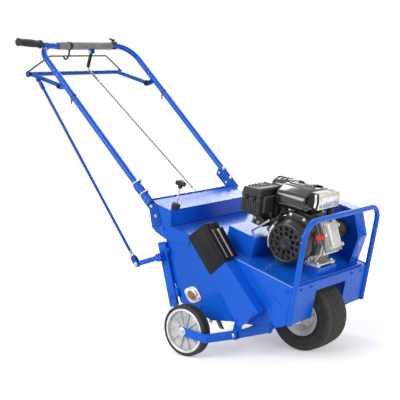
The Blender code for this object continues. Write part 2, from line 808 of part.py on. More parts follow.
def recoil_cover():
    """The black blower housing with its duct over the crankcase, and the slotted recoil cup."""
    x, z = tilt(*engine_uw(0, CRANK_H))
    outline = [(76, 62), (76, 164), (44, 200), (-28, 205.7)]
    for k in range(10):
        turn = math.radians(128 + 18 * k)
        outline.append((98 * math.cos(turn), CRANK_H + 98 * math.sin(turn)))
    case = prism(outline, -92.4, -128, flat(engine))
    duct = prism([(-62, 166), (36, 166), (34, 198), (-30, 201), (-62, 196)], -96, 44, flat(engine))
    section = [(77, -126), (90, -126), (90, -160), (78, -178), (0, -178), (0, -174), (75, -174), (77, -160)]
    cup = lathe(section, about(x, z), 20)
    slots = []
    for k in range(8):
        turn = 2 * math.pi * (k + 0.5) / 8
        inner, outer, half = 34.0, 70.0, 0.15
        loop = []
        for reach, angle in ((inner, turn - half * 1.4), (outer, turn - half), (outer, turn + half),
                             (inner, turn + half * 1.4)):
            loop.append((reach * math.cos(angle), CRANK_H + reach * math.sin(angle)))
        slots.append(prism(loop, -170, -182, flat(engine)))
    centre = lathe([(0, -176), (28, -176), (25, -184), (0, -184)], about(x, z), 12)
    cup = cut(cup, *slots)
    whole = join(case, duct, cup, centre)
    return finish(whole, "recoil_cover", "black_plastic", engine(0, -140, CRANK_H), True)


def recoil_grip():
    """The T grip of the recoil starter, resting on the rim of its cover."""
    reach = 90.0 + 6.4
    way = Vector((-0.61, 0.79)).normalized()
    x = way.x * reach
    z = CRANK_H + way.y * reach
    grip = sweep([engine(x, -168, z), engine(x, -132, z)], 7, count=10)
    stem = sweep([engine(x, -150, z), engine(x + way.x * 14, -150, z + way.y * 14)], 4, count=8)
    return finish(join(grip, stem), "recoil_grip", "black_plastic", engine(x, -150, z), True)


def fuel_tank():
    """The fuel tank on top of the engine."""
    outline = [(-110, 206), (58, 206), (66, 250), (60, 290), (-60, 296), (-112, 268), (-118, 240)]
    tank = prism(rounded(outline, 18, 2), -116, 28, across(engine))
    neck = prism(circle(*CAP_AT, 20, 16), 290, 302, upright(engine))
    return finish(join(tank, neck), "fuel_tank", "black_metal", engine(-45, 0, 250), True)


def fuel_cap():
    """The ribbed fuel cap."""
    outline = []
    for k in range(24):
        turn = 2 * math.pi * k / 24
        reach = 25.0 if k % 2 else 22.5
        outline.append((CAP_AT[0] + reach * math.cos(turn), CAP_AT[1] + reach * math.sin(turn)))
    cap = prism(outline, 302.3, 318, upright(engine))
    return finish(cap, "fuel_cap", "silver_steel", engine(*CAP_AT, 310))


def air_cleaner():
    """The black air cleaner case, stepped down towards the engine."""
    outline = rounded([(-222, 166), (-134, 166), (-134, 276), (-216, 272)], 12, 2)
    main = prism(outline, -186, -40, flat(engine))
    step = prism(rounded([(-160, 176), (-119, 176), (-119, 244), (-160, 244)], 8, 2), -168, -50, flat(engine))
    duct = prism(rounded([(-147, 150), (-120, 150), (-120, 190), (-147, 190)], 5, 2), -110, -60, flat(engine))
    return finish(join(main, step, duct), "air_cleaner", "black_plastic", engine(-190, -110, 200), True)


def carburettor():
    """The carburettor, with its bowl and its control box under the air cleaner."""
    outline = rounded([(-138, 96), (-76.4, 96), (-76.4, 149.7), (-138, 149.7)], 5, 1)
    core = prism(outline, -88, -40, flat(engine))
    bowl = prism(circle(-99, -64, 17, 16), 74, 98, upright(engine))
    outline = [(-190, 122), (-134, 116), (-134, 149.6), (-148.4, 149.6), (-148.4, 162), (-190, 162)]
    panel = prism(outline, -138, -52, flat(engine))
    core = join(core, bowl, panel)
    return finish(core, "carburettor", "zinc_steel", engine(-106, -64, 110), True)


def muffler():
    """The muffler in its silver shield, whose front is raised to a panel."""
    outline = rounded([(36, 236), (90, 236), (92, 265), (86, 296), (40, 298), (34, 265)], 10, 2)
    shell = prism(outline, -116, 28, flat(engine))
    port = sweep([engine(67, 10, 162.6), engine(67, 10, 246)], 12, count=12)
    panel = prism([(-104, 246), (16, 246), (16, 284), (-104, 284)], 88, 94.5, across(engine))
    return finish(join(shell, panel, port), "muffler", "silver_steel", engine(75, 30, 250), True)


def plug_cap():
    """The spark plug cap with its lead to the blower housing."""
    root_x, root_z = CYLINDER_ROOT
    a = root_x + 86 * math.cos(CYLINDER_LEAN) - 10 * math.sin(CYLINDER_LEAN)
    b = root_z + 86 * math.sin(CYLINDER_LEAN) + 10 * math.cos(CYLINDER_LEAN)
    cap = sweep([engine(a, -46.4, b), engine(a, -62, b)], 10, count=12)
    lead = sweep([engine(a, -58, b), engine(a + 4, -84, b - 12), engine(a - 2, -110, b - 40),
                  engine(79.6, -112, b - 46)], 3.2, bend=10, steps=3, count=8)
    return finish(join(cap, lead), "plug_cap", "black_rubber", engine(a, -50, b), True)


def bull_bar():
    """The bent tube guard ahead of the engine."""
    path = [body(BAR_FOOT[0], -BAR_Y, BAR_FOOT[1]), body(BAR_TOP[0], -BAR_Y, BAR_TOP[1]),
            body(BAR_TOP[0], BAR_Y, BAR_TOP[1]), body(BAR_FOOT[0], BAR_Y, BAR_FOOT[1])]
    return finish(sweep(path, BAR_TUBE, BAR_BEND, 4, 12), "bull_bar", "blue_paint", body(437, 0, 60), True)


def handle_bar():
    """The U-shaped handle with its side stub, lift bail lugs and lever brackets."""
    foot_x, foot_z = LEG_FOOT
    bar_x, bar_z = GRIP_BAR
    path = [world(foot_x, -LEG_Y, foot_z), world(bar_x, -LEG_Y, bar_z), world(bar_x, LEG_Y, bar_z),
            world(foot_x, LEG_Y, foot_z)]
    tube = sweep(path, HANDLE_TUBE, HANDLE_BEND, 4, 12)
    stub = sweep([Vector(STUB[0]), Vector(STUB[1])], 10.5, count=10)
    extras = [stub]
    px, pz = BAIL_PIVOT
    for s in (-1, 1):
        near = LEG_Y - 4.4
        lug = prism(capsule((px, pz), (px + 38, pz + 20), 12), s * near, s * (near + 8), flat(world))
        pin = rod_y(px, pz, 5, s * (near + 7), s * (BAIL_ARM_Y - 14), 12)
        head = rod_y(px, pz, 9, s * (BAIL_ARM_Y - 12), s * (BAIL_ARM_Y - 18), 6)
        extras += [lug, pin, head]
    clevis = [box(bar_x - 4, bar_x + 16, 24 + k, 28 + k, bar_z - 34, bar_z - 6, world) for k in (0, 18)]
    block = box(bar_x - 14, bar_x + 14, THROTTLE_Y - 12, THROTTLE_Y + 12, bar_z + 6, bar_z + 20, world)
    whole = join(tube, *extras, *clevis, block)
    return finish(whole, "handle_bar", "blue_paint", world(bar_x, 0, bar_z), True)


def bar_grip():
    """The grey sleeve on the crossbar."""
    x, z = GRIP_BAR
    half = LEG_Y - 124.4
    sleeve = ring_y(x, z, HANDLE_TUBE + 0.6, 17, -half, half, 14)
    trim = [box(x - 5, x + 17, 22, 50, z - 40, z - 5, world)]
    return finish(cut(sleeve, *trim), "bar_grip", "grey_foam", world(x, 0, z), True)


def side_grip():
    """The black rubber grip on the side stub."""
    a = Vector(STUB[0])
    b = Vector(STUB[1])
    way = (b - a).normalized()
    start = a + way * 102
    end = a + way * 238
    grip = sweep([start, end], 17.5, count=16)
    bore = sweep([start - way * 5, b + way * 0.5], 11.2, count=16)
    return finish(cut(grip, bore), "side_grip", "black_rubber", (start + end) / 2, True)


def handle_bracket(sign, name):
    """The plate that holds a handle leg to the hood, with its clamp loop."""
    line = [(-350, 636), (-258, 547), (-232, 480)]
    plate = prism(thick_line(line, 42), sign * (HOOD_OUT + GAP), sign * (HOOD_OUT + 3.6), flat(world))
    foot = world(LEG_FOOT[0], sign * LEG_Y, LEG_FOOT[1])
    top = world(GRIP_BAR[0], sign * LEG_Y, GRIP_BAR[1])
    way = (top - foot).normalized()
    centre = foot + way * 84
    collar = sweep([centre - way * 9, centre + way * 9], 18.5, count=16)
    bore = sweep([centre - way * 20, centre + way * 20], HANDLE_TUBE + 0.8, count=16)
    trim = box(centre.x - 60, centre.x + 60, sign * (HOOD_OUT + GAP), sign * (HOOD_OUT - 30),
               centre.z - 60, centre.z + 60, world)
    return finish(cut(join(plate, collar), bore, trim), name, "dark_blue", centre, True)


def clutch_cable():
    """The cable from the clutch lever down to the back of the hood."""
    path = [world(-925, 35, 1103.4), world(-918, 36, 1086), world(-289.1, 48, 566)]
    cable = sweep(path, 2.6, bend=12, steps=4, count=8)
    return finish(cable, "clutch_cable", "zinc_steel", path[0], True)


def latch_hook():
    """The hook under the crossbar for the latch loop."""
    x, z = GRIP_BAR
    path = [world(x, -100, z - 17.4), world(x - 2, -100, z - 38), world(x - 14, -100, z - 56),
            world(x - 30, -100, z - 60), world(x - 36, -100, z - 50)]
    return finish(sweep(path, 4, bend=8, steps=2, count=8), "latch_hook", "black_metal", path[0], True)


def clutch_lever():
    """The clutch lever, hanging between two cheeks under the crossbar."""
    x, z = GRIP_BAR
    top = (x + 6, z - 26)
    outline = thick_line([top, (x - 2, z - 50), (x - 16, z - 92)], 13)
    lever = prism(outline, 31, 39, flat(world))
    boss = rod_y(top[0], top[1], 7.5, 28.4, 41.6, 12)
    return finish(join(lever, boss), "clutch_lever", "black_metal", world(top[0], 35, top[1]), True)


def throttle_lever():
    """The small lever on the block at the far end of the crossbar."""
    x, z = GRIP_BAR
    y = THROTTLE_Y
    hub = prism(circle(y, z + 26.4, 6), x - 9, x + 5, across(world))
    arm = prism(capsule((y, z + 26.4), (y - 22, z + 33), 4), x - 6, x + 2, across(world))
    return finish(join(hub, arm), "throttle_lever", "black_plastic", world(x, y, z + 26.4), True)


def lift_bail():
    """The lift bail: a cross tube on two arms, which turn on the handle's lugs."""
    bx, bz = BAIL_BAR
    px, pz = BAIL_PIVOT
    rx, rz = BAIL_ROD
    half = BAIL_ARM_Y + BAIL_END
    bar = rod_y(bx, bz, BAIL_TUBE, -half, half, 12)
    parts = []
    for s in (-1, 1):
        arm = sweep([world(bx, s * BAIL_ARM_Y, bz), world(px, s * BAIL_ARM_Y, pz)], BAIL_TUBE, count=8)
        eye = rod_y(px, pz, 14, s * (BAIL_ARM_Y - 9), s * (BAIL_ARM_Y + 9), 12)
        parts += [arm, eye]
    pin = rod_y(rx, rz, 5, -BAIL_ARM_Y - 6, -ROD_Y - 8, 12)
    head = rod_y(rx, rz, 8, -ROD_Y - 4.6, -ROD_Y - 9, 6)
    bail = join(bar, *parts, pin, head)
    bores = [rod_y(px, pz, 5.7, s * (BAIL_ARM_Y - 12), s * (BAIL_ARM_Y + 12), 12) for s in (-1, 1)]
    return finish(cut(bail, *bores), "lift_bail", "blue_paint", world(px, 0, pz), True)


def latch_bail():
    """The thin wire loop on the ends of the lift bail."""
    bx, bz = BAIL_BAR
    top = (-950.0, 1152.0)
    mid = BAIL_ARM_Y + 15
    parts = []
    for s in (-1, 1):
        parts.append(ring_y(bx, bz, bore_for(BAIL_TUBE), 13.5, s * (mid - 3.5), s * (mid + 4), 12))
    wire = sweep([world(bx + 2, -mid, bz + 13.4), world(top[0], -180, top[1]), world(top[0], 180, top[1]),
                  world(bx + 2, mid, bz + 13.4)], 3.4, bend=18, steps=2, count=8)
    return finish(join(wire, *parts), "latch_bail", "black_metal", world(bx, 0, bz), True)


def push_rod():
    """The rod from the lift bail down to the crank, with an eye above and a fork below."""
    rx, rz = BAIL_ROD
    cx, cz = CRANK_END
    top = world(rx, -ROD_Y, rz)
    low = world(cx, -ROD_Y, cz)
    way = (low - top).normalized()
    rod = sweep([top + way * 9, low - way * 30], 6.3, count=10)
    eye = rod_y(rx, rz, 12, -ROD_Y - 4, -ROD_Y + 4, 12)
    slab_start = (low - way * 36)
    fork_outline = thick_line([(slab_start.x, slab_start.z), (cx + way.x * 12, cz + way.z * 12)], 24)
    fork = prism(fork_outline, -ROD_Y - 8.5, -ROD_Y + 8.5, flat(world))
    mouth_start = low - way * 25
    mouth = prism(thick_line([(mouth_start.x, mouth_start.z), (cx + way.x * 30, cz + way.z * 30)], 40),
                  -ROD_Y - 4.7, -ROD_Y + 4.7, flat(world))
    bore = rod_y(rx, rz, 5.7, -ROD_Y - 8, -ROD_Y + 8, 12)
    made = cut(join(rod, eye, fork), mouth, bore)
    return finish(made, "push_rod", "blue_paint", top, True)


def lift_crank():
    """The lift shaft with its crank arm on the right and its short arm on the left."""
    x, z = tilt(CRANK_U, CRANK_W)
    cx, cz = CRANK_END
    ex, ez = CRANK_LOW
    shoulder = SIDE_OUT + 17
    profile = [(0, -ROD_Y - 11), (17, -ROD_Y - 11), (17, -shoulder), (CRANK_SHAFT, -shoulder),
               (CRANK_SHAFT, LEVER_Y + 2), (0, LEVER_Y + 2)]
    shaft = lathe(profile, about(x, z), 12)
    arm_way = Vector((cx - x, cz - z)).normalized()
    stop = (cx - arm_way.x * 20, cz - arm_way.y * 20)
    first = (x + arm_way.x * 6, z + arm_way.y * 6)
    arm = sweep([world(first[0], -ROD_Y, first[1]), world(stop[0], -ROD_Y, stop[1])], 10.9, count=10)
    tongue = prism(capsule((cx, cz), (cx - arm_way.x * 34, cz - arm_way.y * 34), 8.8), -ROD_Y - 4, -ROD_Y + 4,
                   flat(world))
    short = prism(capsule((x, z), (ex, ez), 15), LEVER_Y - 4, LEVER_Y + 4, flat(world))
    pin = rod_y(ex, ez, 6, LEVER_Y, LINK_Y + 6)
    return finish(join(shaft, arm, tongue, short, pin), "lift_crank", "blue_paint", world(x, 0, z), True)


def lift_link():
    """The flat link from the short arm to the lever on the yoke."""
    ex, ez = CRANK_LOW
    gx, gz = YOKE_LEVER
    link = prism(capsule(CRANK_LOW, YOKE_LEVER, 11), LINK_Y - 3.5, LINK_Y + 3.5, flat(world),
                 [circle(ex, ez, bore_for(6))])
    head = rod_y(gx, gz, 9, LINK_Y + 2.5, LINK_Y + 9, 6)
    return finish(join(link, head), "lift_link", "dark_blue", world(ex, LINK_Y, ez), True)


def wheel_yoke():
    """The yoke: a cross shaft, two arms out to the rear wheels, their bolts and one lever on the left."""
    x, z = tilt(YOKE_U, YOKE_W)
    shaft = rod_y(x, z, YOKE_SHAFT, -LEVER_Y - 1, LEVER_Y + 1, 12)
    gx, gz = YOKE_LEVER
    lever = prism(capsule((x, z), (gx, gz), 13), LEVER_Y - 4, LEVER_Y + 4, flat(world))
    parts = [lever]
    rise = (REAR_RADIUS - z) / x
    for s in (-1, 1):
        near = SIDE_OUT + 15
        far = REAR_OUT_Y + 6.7
        plan = [(x + 13, near), (x - 4, near), (113, far), (-16, far)]

        def place(p, q, t):
            return world(p, s * q, z + (x - p) * rise + t)

        parts.append(prism(thick_line(plan, 8), -17, 17, upright(place)))
        head = far - 64
        nut = far + 3
        bolt = [(0, head), (13, head), (13, head + 10), (8, head + 10), (8, nut), (13, nut), (13, nut + 11.6),
                (0, nut + 11.6)]
        parts.append(lathe([(r, s * y) for r, y in bolt], about(0, REAR_RADIUS), 12))
    return finish(join(shaft, *parts), "wheel_yoke", "blue_paint", world(x, 0, z), True)


def rear_tyre(sign, name):
    """A thin rubber tyre with rounded shoulders."""
    high = REAR_OUT_Y - 1
    low = REAR_OUT_Y - REAR_WIDTH + 1
    inner = REAR_RADIUS - REAR_RUBBER + GAP
    edge = REAR_RADIUS - 5.6
    mid = (high + low) / 2
    profile = [(inner, low), (edge, low), (REAR_RADIUS, low + 8), (REAR_RADIUS, high - 8), (edge, high),
               (inner, high)]
    if sign < 0:
        profile = [(r, -y) for r, y in profile]
    return finish(lathe(profile, about(0, REAR_RADIUS), 28), name, "black_rubber",
                  world(0, sign * mid, REAR_RADIUS), True)


def rear_hub(sign, name):
    """A pale ribbed wheel: rim, web with raised ribs and a bored boss."""
    outer = REAR_RADIUS - REAR_RUBBER
    high = REAR_OUT_Y
    low = REAR_OUT_Y - REAR_WIDTH
    rim = lathe([(outer - 10, sign * (low + 3)), (outer, sign * (low + 3)), (outer, sign * high),
                 (outer - 11, sign * high)], about(0, REAR_RADIUS), 28)
    boss = ring_y(0, REAR_RADIUS, REAR_BORE, 19, sign * (low + 4), sign * (high - 1), 12)
    web = prism(circle(0, REAR_RADIUS, outer - 7, 28), sign * (high - 20), sign * (high - 15), flat(world),
                [circle(0, REAR_RADIUS, 13, 12)])
    ribs = []
    for k in range(HUB_RIBS):
        turn = 2 * math.pi * k / HUB_RIBS
        ends = [(reach * math.cos(turn), REAR_RADIUS + reach * math.sin(turn)) for reach in (16, outer - 8)]
        ribs.append(prism(thick_line(ends, 7), sign * (high - 16), sign * (high - 8), flat(world)))
    middle = world(0, sign * (high + low) / 2, REAR_RADIUS)
    return finish(join(web, rim, boss, *ribs), name, "grey_plastic", middle, True)


def front_tyre():
    """The wide ribbed front tyre."""
    x, z = tilt(FRONT_U, FRONT_W)
    half = FRONT_WIDTH / 2
    outer = FRONT_RADIUS
    side = [(bore_for(FRONT_RIM, 28), half - 9), (outer - 36, half), (outer - 8, half - 10)]
    tread = []
    ribs = 4
    rib = (FRONT_WIDTH - 28) / ribs
    for k in range(ribs):
        left = half - 14 - k * rib
        right = left - rib + 5
        crown = 5.0 * (abs(left + right) / 2 / half) ** 2
        tread += [(outer - crown, left), (outer - crown, right)]
        if k < ribs - 1:
            tread += [(outer - crown - 6, right), (outer - crown - 6, right - 5)]
    closing = [(r, -y) for r, y in reversed(side)]
    tyre = lathe(side + tread + closing, about(x, z), 28)
    return finish(tyre, "front_tyre", "tyre_rubber", world(x, 0, z), True)


def front_rim():
    """The two-flange front rim with its hub tube."""
    x, z = tilt(FRONT_U, FRONT_W)
    bore = FRONT_AXLE + GAP
    half = [(bore, 96), (20, 96), (20, 22), (58, 22), (66, 62), (FRONT_RIM, 62), (FRONT_RIM, 40)]
    profile = half + [(r, -y) for r, y in reversed(half)]
    return finish(lathe(profile, about(x, z), 18), "front_rim", "silver_steel", world(x, 0, z), True)


def build():
    clear_scene()
    side_plate(-1, "side_plate_right")
    side_plate(1, "side_plate_left")
    deck_plate()
    front_plate()
    hood()
    hood_knob()
    knob_block()
    drive_cover()
    belt_guard()
    chain_guard()
    ribbed_box()
    rear_rail(-1, "rear_rail_right")
    rear_rail(1, "rear_rail_left")
    lower_bracket(-1, "lower_bracket_right")
    lower_bracket(1, "lower_bracket_left")
    front_axle()
    drum_bearing(-1, "drum_bearing_right")
    drum_bearing(1, "drum_bearing_left")
    for index in range(TINE_WHEELS):
        tine_wheel(index)
    drum_shaft()
    jackshaft()
    engine_pulley()
    crank = engine_uw(0, CRANK_H)
    jack = (JACK_U, JACK_W)
    loop_band(jack, JACK_PULLEY, crank, ENGINE_PULLEY, BELT_Y, 6.5, 5, "drive_belt", "black_rubber")
    loop_band((DRUM_U, DRUM_W), DRUM_SPROCKET, jack, JACK_SPROCKET, CHAIN_Y, 5, 6, "drum_chain", "raw_steel")
    crankcase()
    cylinder()
    recoil_cover()
    recoil_grip()
    fuel_tank()
    fuel_cap()
    air_cleaner()
    carburettor()
    muffler()
    plug_cap()
    bull_bar()
    handle_bar()
    bar_grip()
    side_grip()
    handle_bracket(-1, "handle_bracket_right")
    handle_bracket(1, "handle_bracket_left")
    clutch_cable()
    latch_hook()
    clutch_lever()
    throttle_lever()
    lift_bail()
    latch_bail()
    push_rod()
    lift_crank()
    lift_link()
    wheel_yoke()
    for sign, word in ((-1, "right"), (1, "left")):
        rear_tyre(sign, f"rear_tyre_{word}")
        rear_hub(sign, f"rear_hub_{word}")
    front_tyre()
    front_rim()


build()
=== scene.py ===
"""Looks of the lawn aerator: its finishes and fine detail, the light, the floor and the camera.

The drawing helpers take millimetres; the scene is in metres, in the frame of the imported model.
"""

import json
from math import acos, atan2, cos, degrees, pi, radians, sin, tan

import bmesh
import bpy
from mathutils import Matrix, Vector
from mathutils.geometry import tessellate_polygon

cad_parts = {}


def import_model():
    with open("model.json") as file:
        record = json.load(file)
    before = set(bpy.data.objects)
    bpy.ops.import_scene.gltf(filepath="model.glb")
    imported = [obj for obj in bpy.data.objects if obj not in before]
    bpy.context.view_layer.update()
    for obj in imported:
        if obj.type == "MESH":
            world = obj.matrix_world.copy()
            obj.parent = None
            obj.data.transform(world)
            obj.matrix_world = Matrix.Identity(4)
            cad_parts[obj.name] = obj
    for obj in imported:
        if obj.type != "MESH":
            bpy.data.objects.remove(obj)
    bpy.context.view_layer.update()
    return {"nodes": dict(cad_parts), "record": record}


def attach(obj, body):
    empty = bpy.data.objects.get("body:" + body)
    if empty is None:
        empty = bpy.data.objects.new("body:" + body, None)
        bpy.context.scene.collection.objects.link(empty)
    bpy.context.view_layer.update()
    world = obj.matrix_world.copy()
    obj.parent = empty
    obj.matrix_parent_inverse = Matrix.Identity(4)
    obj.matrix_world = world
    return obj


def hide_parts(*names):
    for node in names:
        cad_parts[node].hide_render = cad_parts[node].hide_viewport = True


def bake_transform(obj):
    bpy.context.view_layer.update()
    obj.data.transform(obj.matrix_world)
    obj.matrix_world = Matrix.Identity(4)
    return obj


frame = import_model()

MM = 0.001
BOTH = (-1, 1)
SIDES = ((-1, "right"), (1, "left"))

# Stance, as in the part's source
PITCH = radians(16)
DECK_Z = 430.4
FRAME_SHIFT = 248.2
ENGINE_U = 220
ENGINE_W = 3
ENGINE_RISE = radians(8)
ENGINE_FOOT = 92

ALONG = Vector((cos(PITCH), 0, -sin(PITCH)))
UP = Vector((sin(PITCH), 0, cos(PITCH)))
LEFT = Vector((0, 1, 0))
AHEAD = Vector((1, 0, 0))
UPRIGHT = Vector((0, 0, 1))

# Camera, fitted to the photograph
CAMERA_AT = (2.6862, -3.3725, 1.1824)
CAMERA_AZIMUTH = radians(38.42)
CAMERA_ELEVATION = radians(8.4)
CAMERA_LENS = 91.89

# Light: powers in watts, except for the dome, the sun and the floor
WHITE = (1, 1, 1, 1)
WORLD_LIGHT = 0.36
SUN_LIGHT = 1.95
SUN_WAY = (0.3, 0.85, -0.5)
SUN_SOFTNESS = 35
PANELS = (("back_panel", (-2.2, 3.9, 2.85), (0, 0, 0.5), (3, 1.6), 66),
          ("top_strip", (-1.2, 0.75, 3.3), (0.3, 0, 0.7), (1.2, 0.5), 19),
          ("side_panel", (4.2, -0.6, 1.3), (0.2, 0, 0.4), (2, 1.6), 50))
FLOOR_HALF = 30
FLOOR_Z = -0.0006
FLOOR_GLOW = 0.37


def world(x, y, z):
    return Vector((x + FRAME_SHIFT, y, z)) * MM


def body(u, y, w):
    """A point of the pitched body: u along its deck, w square to it."""
    x = u * cos(PITCH) + w * sin(PITCH)
    z = DECK_Z - u * sin(PITCH) + w * cos(PITCH)
    return world(x, y, z)


def engine(x, y, z):
    """A point of the engine, which is turned nose up about its rear feet."""
    ahead = x + ENGINE_FOOT
    u = ENGINE_U + ahead * cos(ENGINE_RISE) - z * sin(ENGINE_RISE)
    w = ENGINE_W + ahead * sin(ENGINE_RISE) + z * cos(ENGINE_RISE)
    return body(u, y, w)


# Material nodes

def fill(tree, node, values):
    """Sets a node's inputs, each to a plain value or to the socket that feeds it."""
    for key, value in values.items():
        if isinstance(value, bpy.types.NodeSocket):
            tree.links.new(value, node.inputs[key])
        else:
            node.inputs[key].default_value = value


def add(tree, kind, values=None, **settings):
    """A new shader node."""
    made = tree.nodes.new("ShaderNode" + kind)
    for key, value in settings.items():
        setattr(made, key, value)
    fill(tree, made, values or {})
    return made


def noise(tree, scale, detail, rough=0.55, stretch=(1, 1, 1)):
    """Noise over the object's own coordinates, stretched for drawn or brushed grain."""
    coords = add(tree, "TexCoord").outputs["Object"]
    place = add(tree, "Mapping", {"Vector": coords, "Scale": stretch}).outputs["Vector"]
    return add(tree, "TexNoise", {"Vector": place, "Scale": scale, "Detail": detail,
                                  "Roughness": rough}).outputs["Fac"]


def spread(tree, grain, low, high, to_low=0, to_high=1):
    """Noise between two heights spread over another range."""
    return add(tree, "MapRange", {"Value": noise(tree, *grain), "From Min": low, "From Max": high,
                                  "To Min": to_low, "To Max": to_high}).outputs["Result"]


def blend_colours(tree, factor, a, b):
    return add(tree, "Mix", {"Factor": factor, 6: a, 7: b}, data_type="RGBA").outputs[2]


def scaled(colour, factor):
    return (*(min(1, value * factor) for value in colour), 1)


finishes = {}


def finish(name, colour, tints, broad, layers, gloss, rough, relief, metallic=0.0, specular=0.5,
           coat=0.0, coat_rough=0.1):
    """A finish with an uneven tint, layers over it, uneven gloss and stacked bumps.

    A grain is (scale, detail, roughness, stretch) of noise. A layer is a grain, the heights between
    which it sets in, its strength and its colour; a bump is a grain, a strength and a distance.
    """
    made = finishes[name] = bpy.data.materials.new(f"{name}_finish")
    made.use_nodes = True
    tree = made.node_tree
    base = blend_colours(tree, spread(tree, broad, 0.35, 0.65),
                         *(scaled(colour, tint) for tint in tints))
    for grain, low, high, most, shade in layers:
        base = blend_colours(tree, spread(tree, grain, low, high, 0, most), base, shade)
    normal = {}
    for grain, strength, distance in relief:
        bump = add(tree, "Bump", {"Height": noise(tree, *grain), "Strength": strength,
                                  "Distance": distance, **normal})
        normal = {"Normal": bump.outputs["Normal"]}
    fill(tree, tree.nodes["Principled BSDF"],
         {"Base Color": base, "Roughness": spread(tree, gloss, 0.3, 0.7, *rough),
          "Metallic": metallic, "Specular IOR Level": specular, "Coat Weight": coat,
          "Coat Roughness": coat_rough, **normal})


def paint(name, colour, rough=(0.2, 0.3), specular=0.16, coat=0.12, coat_rough=0.12):
    """Sprayed enamel: orange peel, faint waves, uneven gloss, specks and fine scratches."""
    specks = ((190, 5), 0.7, 0.76, 0.15, scaled(colour, 0.6))
    scratches = ((36, 7, 0.7, (1, 14, 3)), 0.71, 0.75, 0.2, scaled(colour, 1.6))
    finish(name, colour, (0.93, 1.05), (6, 3), (specks, scratches), (34, 5), rough,
           (((11, 2), 0.08, 0.004), ((620, 2), 0.03, 0.0006)), 0, specular, coat, coat_rough)


def moulded(name, colour, rough=(0.42, 0.6), grain=900, depth=0.12, dust=(0.20, 0.19, 0.17),
            dusty=0.12, specular=0.45):
    """Moulded plastic or rubber: fine grain, uneven sheen and a little dust."""
    settled = ((70, 8, 0.7), 0.5, 0.75, dusty, (*dust, 1))
    finish(name, colour, (0.8, 1.25), (18, 4), (settled,), (45, 5), rough,
           (((grain, 3), depth, 0.0008),), specular=specular)


def metal(name, colour, rough=(0.3, 0.5), stain=(0, 0, 0), stained=0.35, metallic=1.0,
          stretch=(1, 1, 1), grain=500, depth=0.1):
    """Bare metal: drawn or cast grain, uneven polish and stains."""
    spots = ((48, 9, 0.7), 0.5, 0.68, stained, (*stain, 1))
    finish(name, colour, (0.85, 1.1), (25, 5), (spots,), (60, 6, 0.55, stretch), rough,
           (((grain, 4, 0.55, stretch), depth, 0.0008),), metallic)


def make_finishes():
    """One material for each slot of the record, and a few for pieces of this scene."""
    paint("blue_paint", (0.005, 0.12, 0.68))
    paint("dark_blue", (0.004, 0.085, 0.48))
    moulded("black_plastic", (0.017, 0.017, 0.018), (0.32, 0.5))
    paint("black_metal", (0.014, 0.014, 0.016))
    paint("tank_black", (0.012, 0.012, 0.014), (0.1, 0.2), 0.5, 0.6, 0.05)
    moulded("black_rubber", (0.02, 0.02, 0.02), (0.6, 0.8), 500, 0.2)
    moulded("tyre_rubber", (0.036, 0.033, 0.03), (0.62, 0.82), 420, 0.25, (0.13, 0.115, 0.1), 0.3)
    moulded("grey_foam", (0.27, 0.29, 0.3), (0.8, 0.95), 700, 0.5, (0.4, 0.4, 0.4), 0.3)
    moulded("grey_plastic", (0.55, 0.57, 0.58), (0.4, 0.6), 800, 0.08, (0.4, 0.38, 0.34), 0.15)
    metal("cast_aluminium", (0.62, 0.61, 0.58), (0.42, 0.6), (0.3, 0.27, 0.22), metallic=0.75,
          grain=420, depth=0.35)
    metal("silver_steel", (0.78, 0.77, 0.74), (0.16, 0.3), (0.5, 0.44, 0.33), 0.3,
          stretch=(1, 1, 0.1))
    metal("zinc_steel", (0.66, 0.66, 0.64), (0.25, 0.4), (0.5, 0.47, 0.36))
    metal("raw_steel", (0.3, 0.29, 0.28), (0.38, 0.6), (0.16, 0.09, 0.05))
    metal("rim", (0.95, 0.93, 0.9), (0.3, 0.42), (0.7, 0.64, 0.56), 0.2, 0.05)
    moulded("cleaner_black", (0.028, 0.028, 0.03), (0.22, 0.36), 900, 0.08)
    # Painted highlight: a paler blue than the bar's paint, for the lit heads of the guard bar's
    # bolts.
    paint("bolt_highlight_blue", (0.06, 0.22, 0.75))
    # Painted highlight: the pale blue of the thin lines that stand in for light catching the sheet
    # edges.
    paint("lip_highlight", (0.3, 0.43, 0.85))
    moulded("red_rubber", (0.55, 0.03, 0.02), (0.4, 0.55), 700, 0.1)
    metal("worn_steel", (0.42, 0.4, 0.38), (0.28, 0.45), (0.2, 0.11, 0.06), 0.4,
          stretch=(1, 1, 0.2))
    metal("brown_steel", (0.3, 0.17, 0.09), (0.4, 0.6), (0.12, 0.06, 0.03))
    moulded("cable", (0.13, 0.125, 0.12), (0.35, 0.5), 900, 0.1)
    moulded("cover_black", (0.012, 0.012, 0.013), (0.25, 0.4), 900, 0.06)
    metal("muffler_silver", (0.8, 0.79, 0.76), (0.2, 0.34), (0.58, 0.47, 0.3))
    metal("dull_gold", (0.62, 0.55, 0.4), (0.25, 0.4), (0.4, 0.32, 0.2))
    metal("pale_metal", (0.72, 0.72, 0.7), (0.3, 0.45), (0.45, 0.4, 0.33), metallic=0.7)
    moulded("case_black", (0.006, 0.005, 0.008), (0.4, 0.55), 900, 0.05, (0.1, 0.09, 0.11), 0.06,
            0.24)


# Scene setting

def new_object(name, data):
    made = bpy.data.objects.new(name, data)
    bpy.context.scene.collection.objects.link(made)
    return made


def make_camera():
    """The camera at the photograph's angle."""
    a, e = CAMERA_AZIMUTH, CAMERA_ELEVATION
    back = Vector((sin(a) * cos(e), -cos(a) * cos(e), sin(e)))
    right = UPRIGHT.cross(back).normalized()
    data = bpy.data.cameras.new("camera")
    data.lens = CAMERA_LENS
    data.sensor_width = 36
    data.clip_end = 200
    camera = new_object("camera", data)
    turn = Matrix((right, back.cross(right), back)).transposed()
    camera.matrix_world = Matrix.Translation(CAMERA_AT) @ turn.to_4x4()
    bpy.context.scene.camera = camera


def empty_tree(owner):
    owner.use_nodes = True
    owner.node_tree.nodes.clear()
    return owner.node_tree


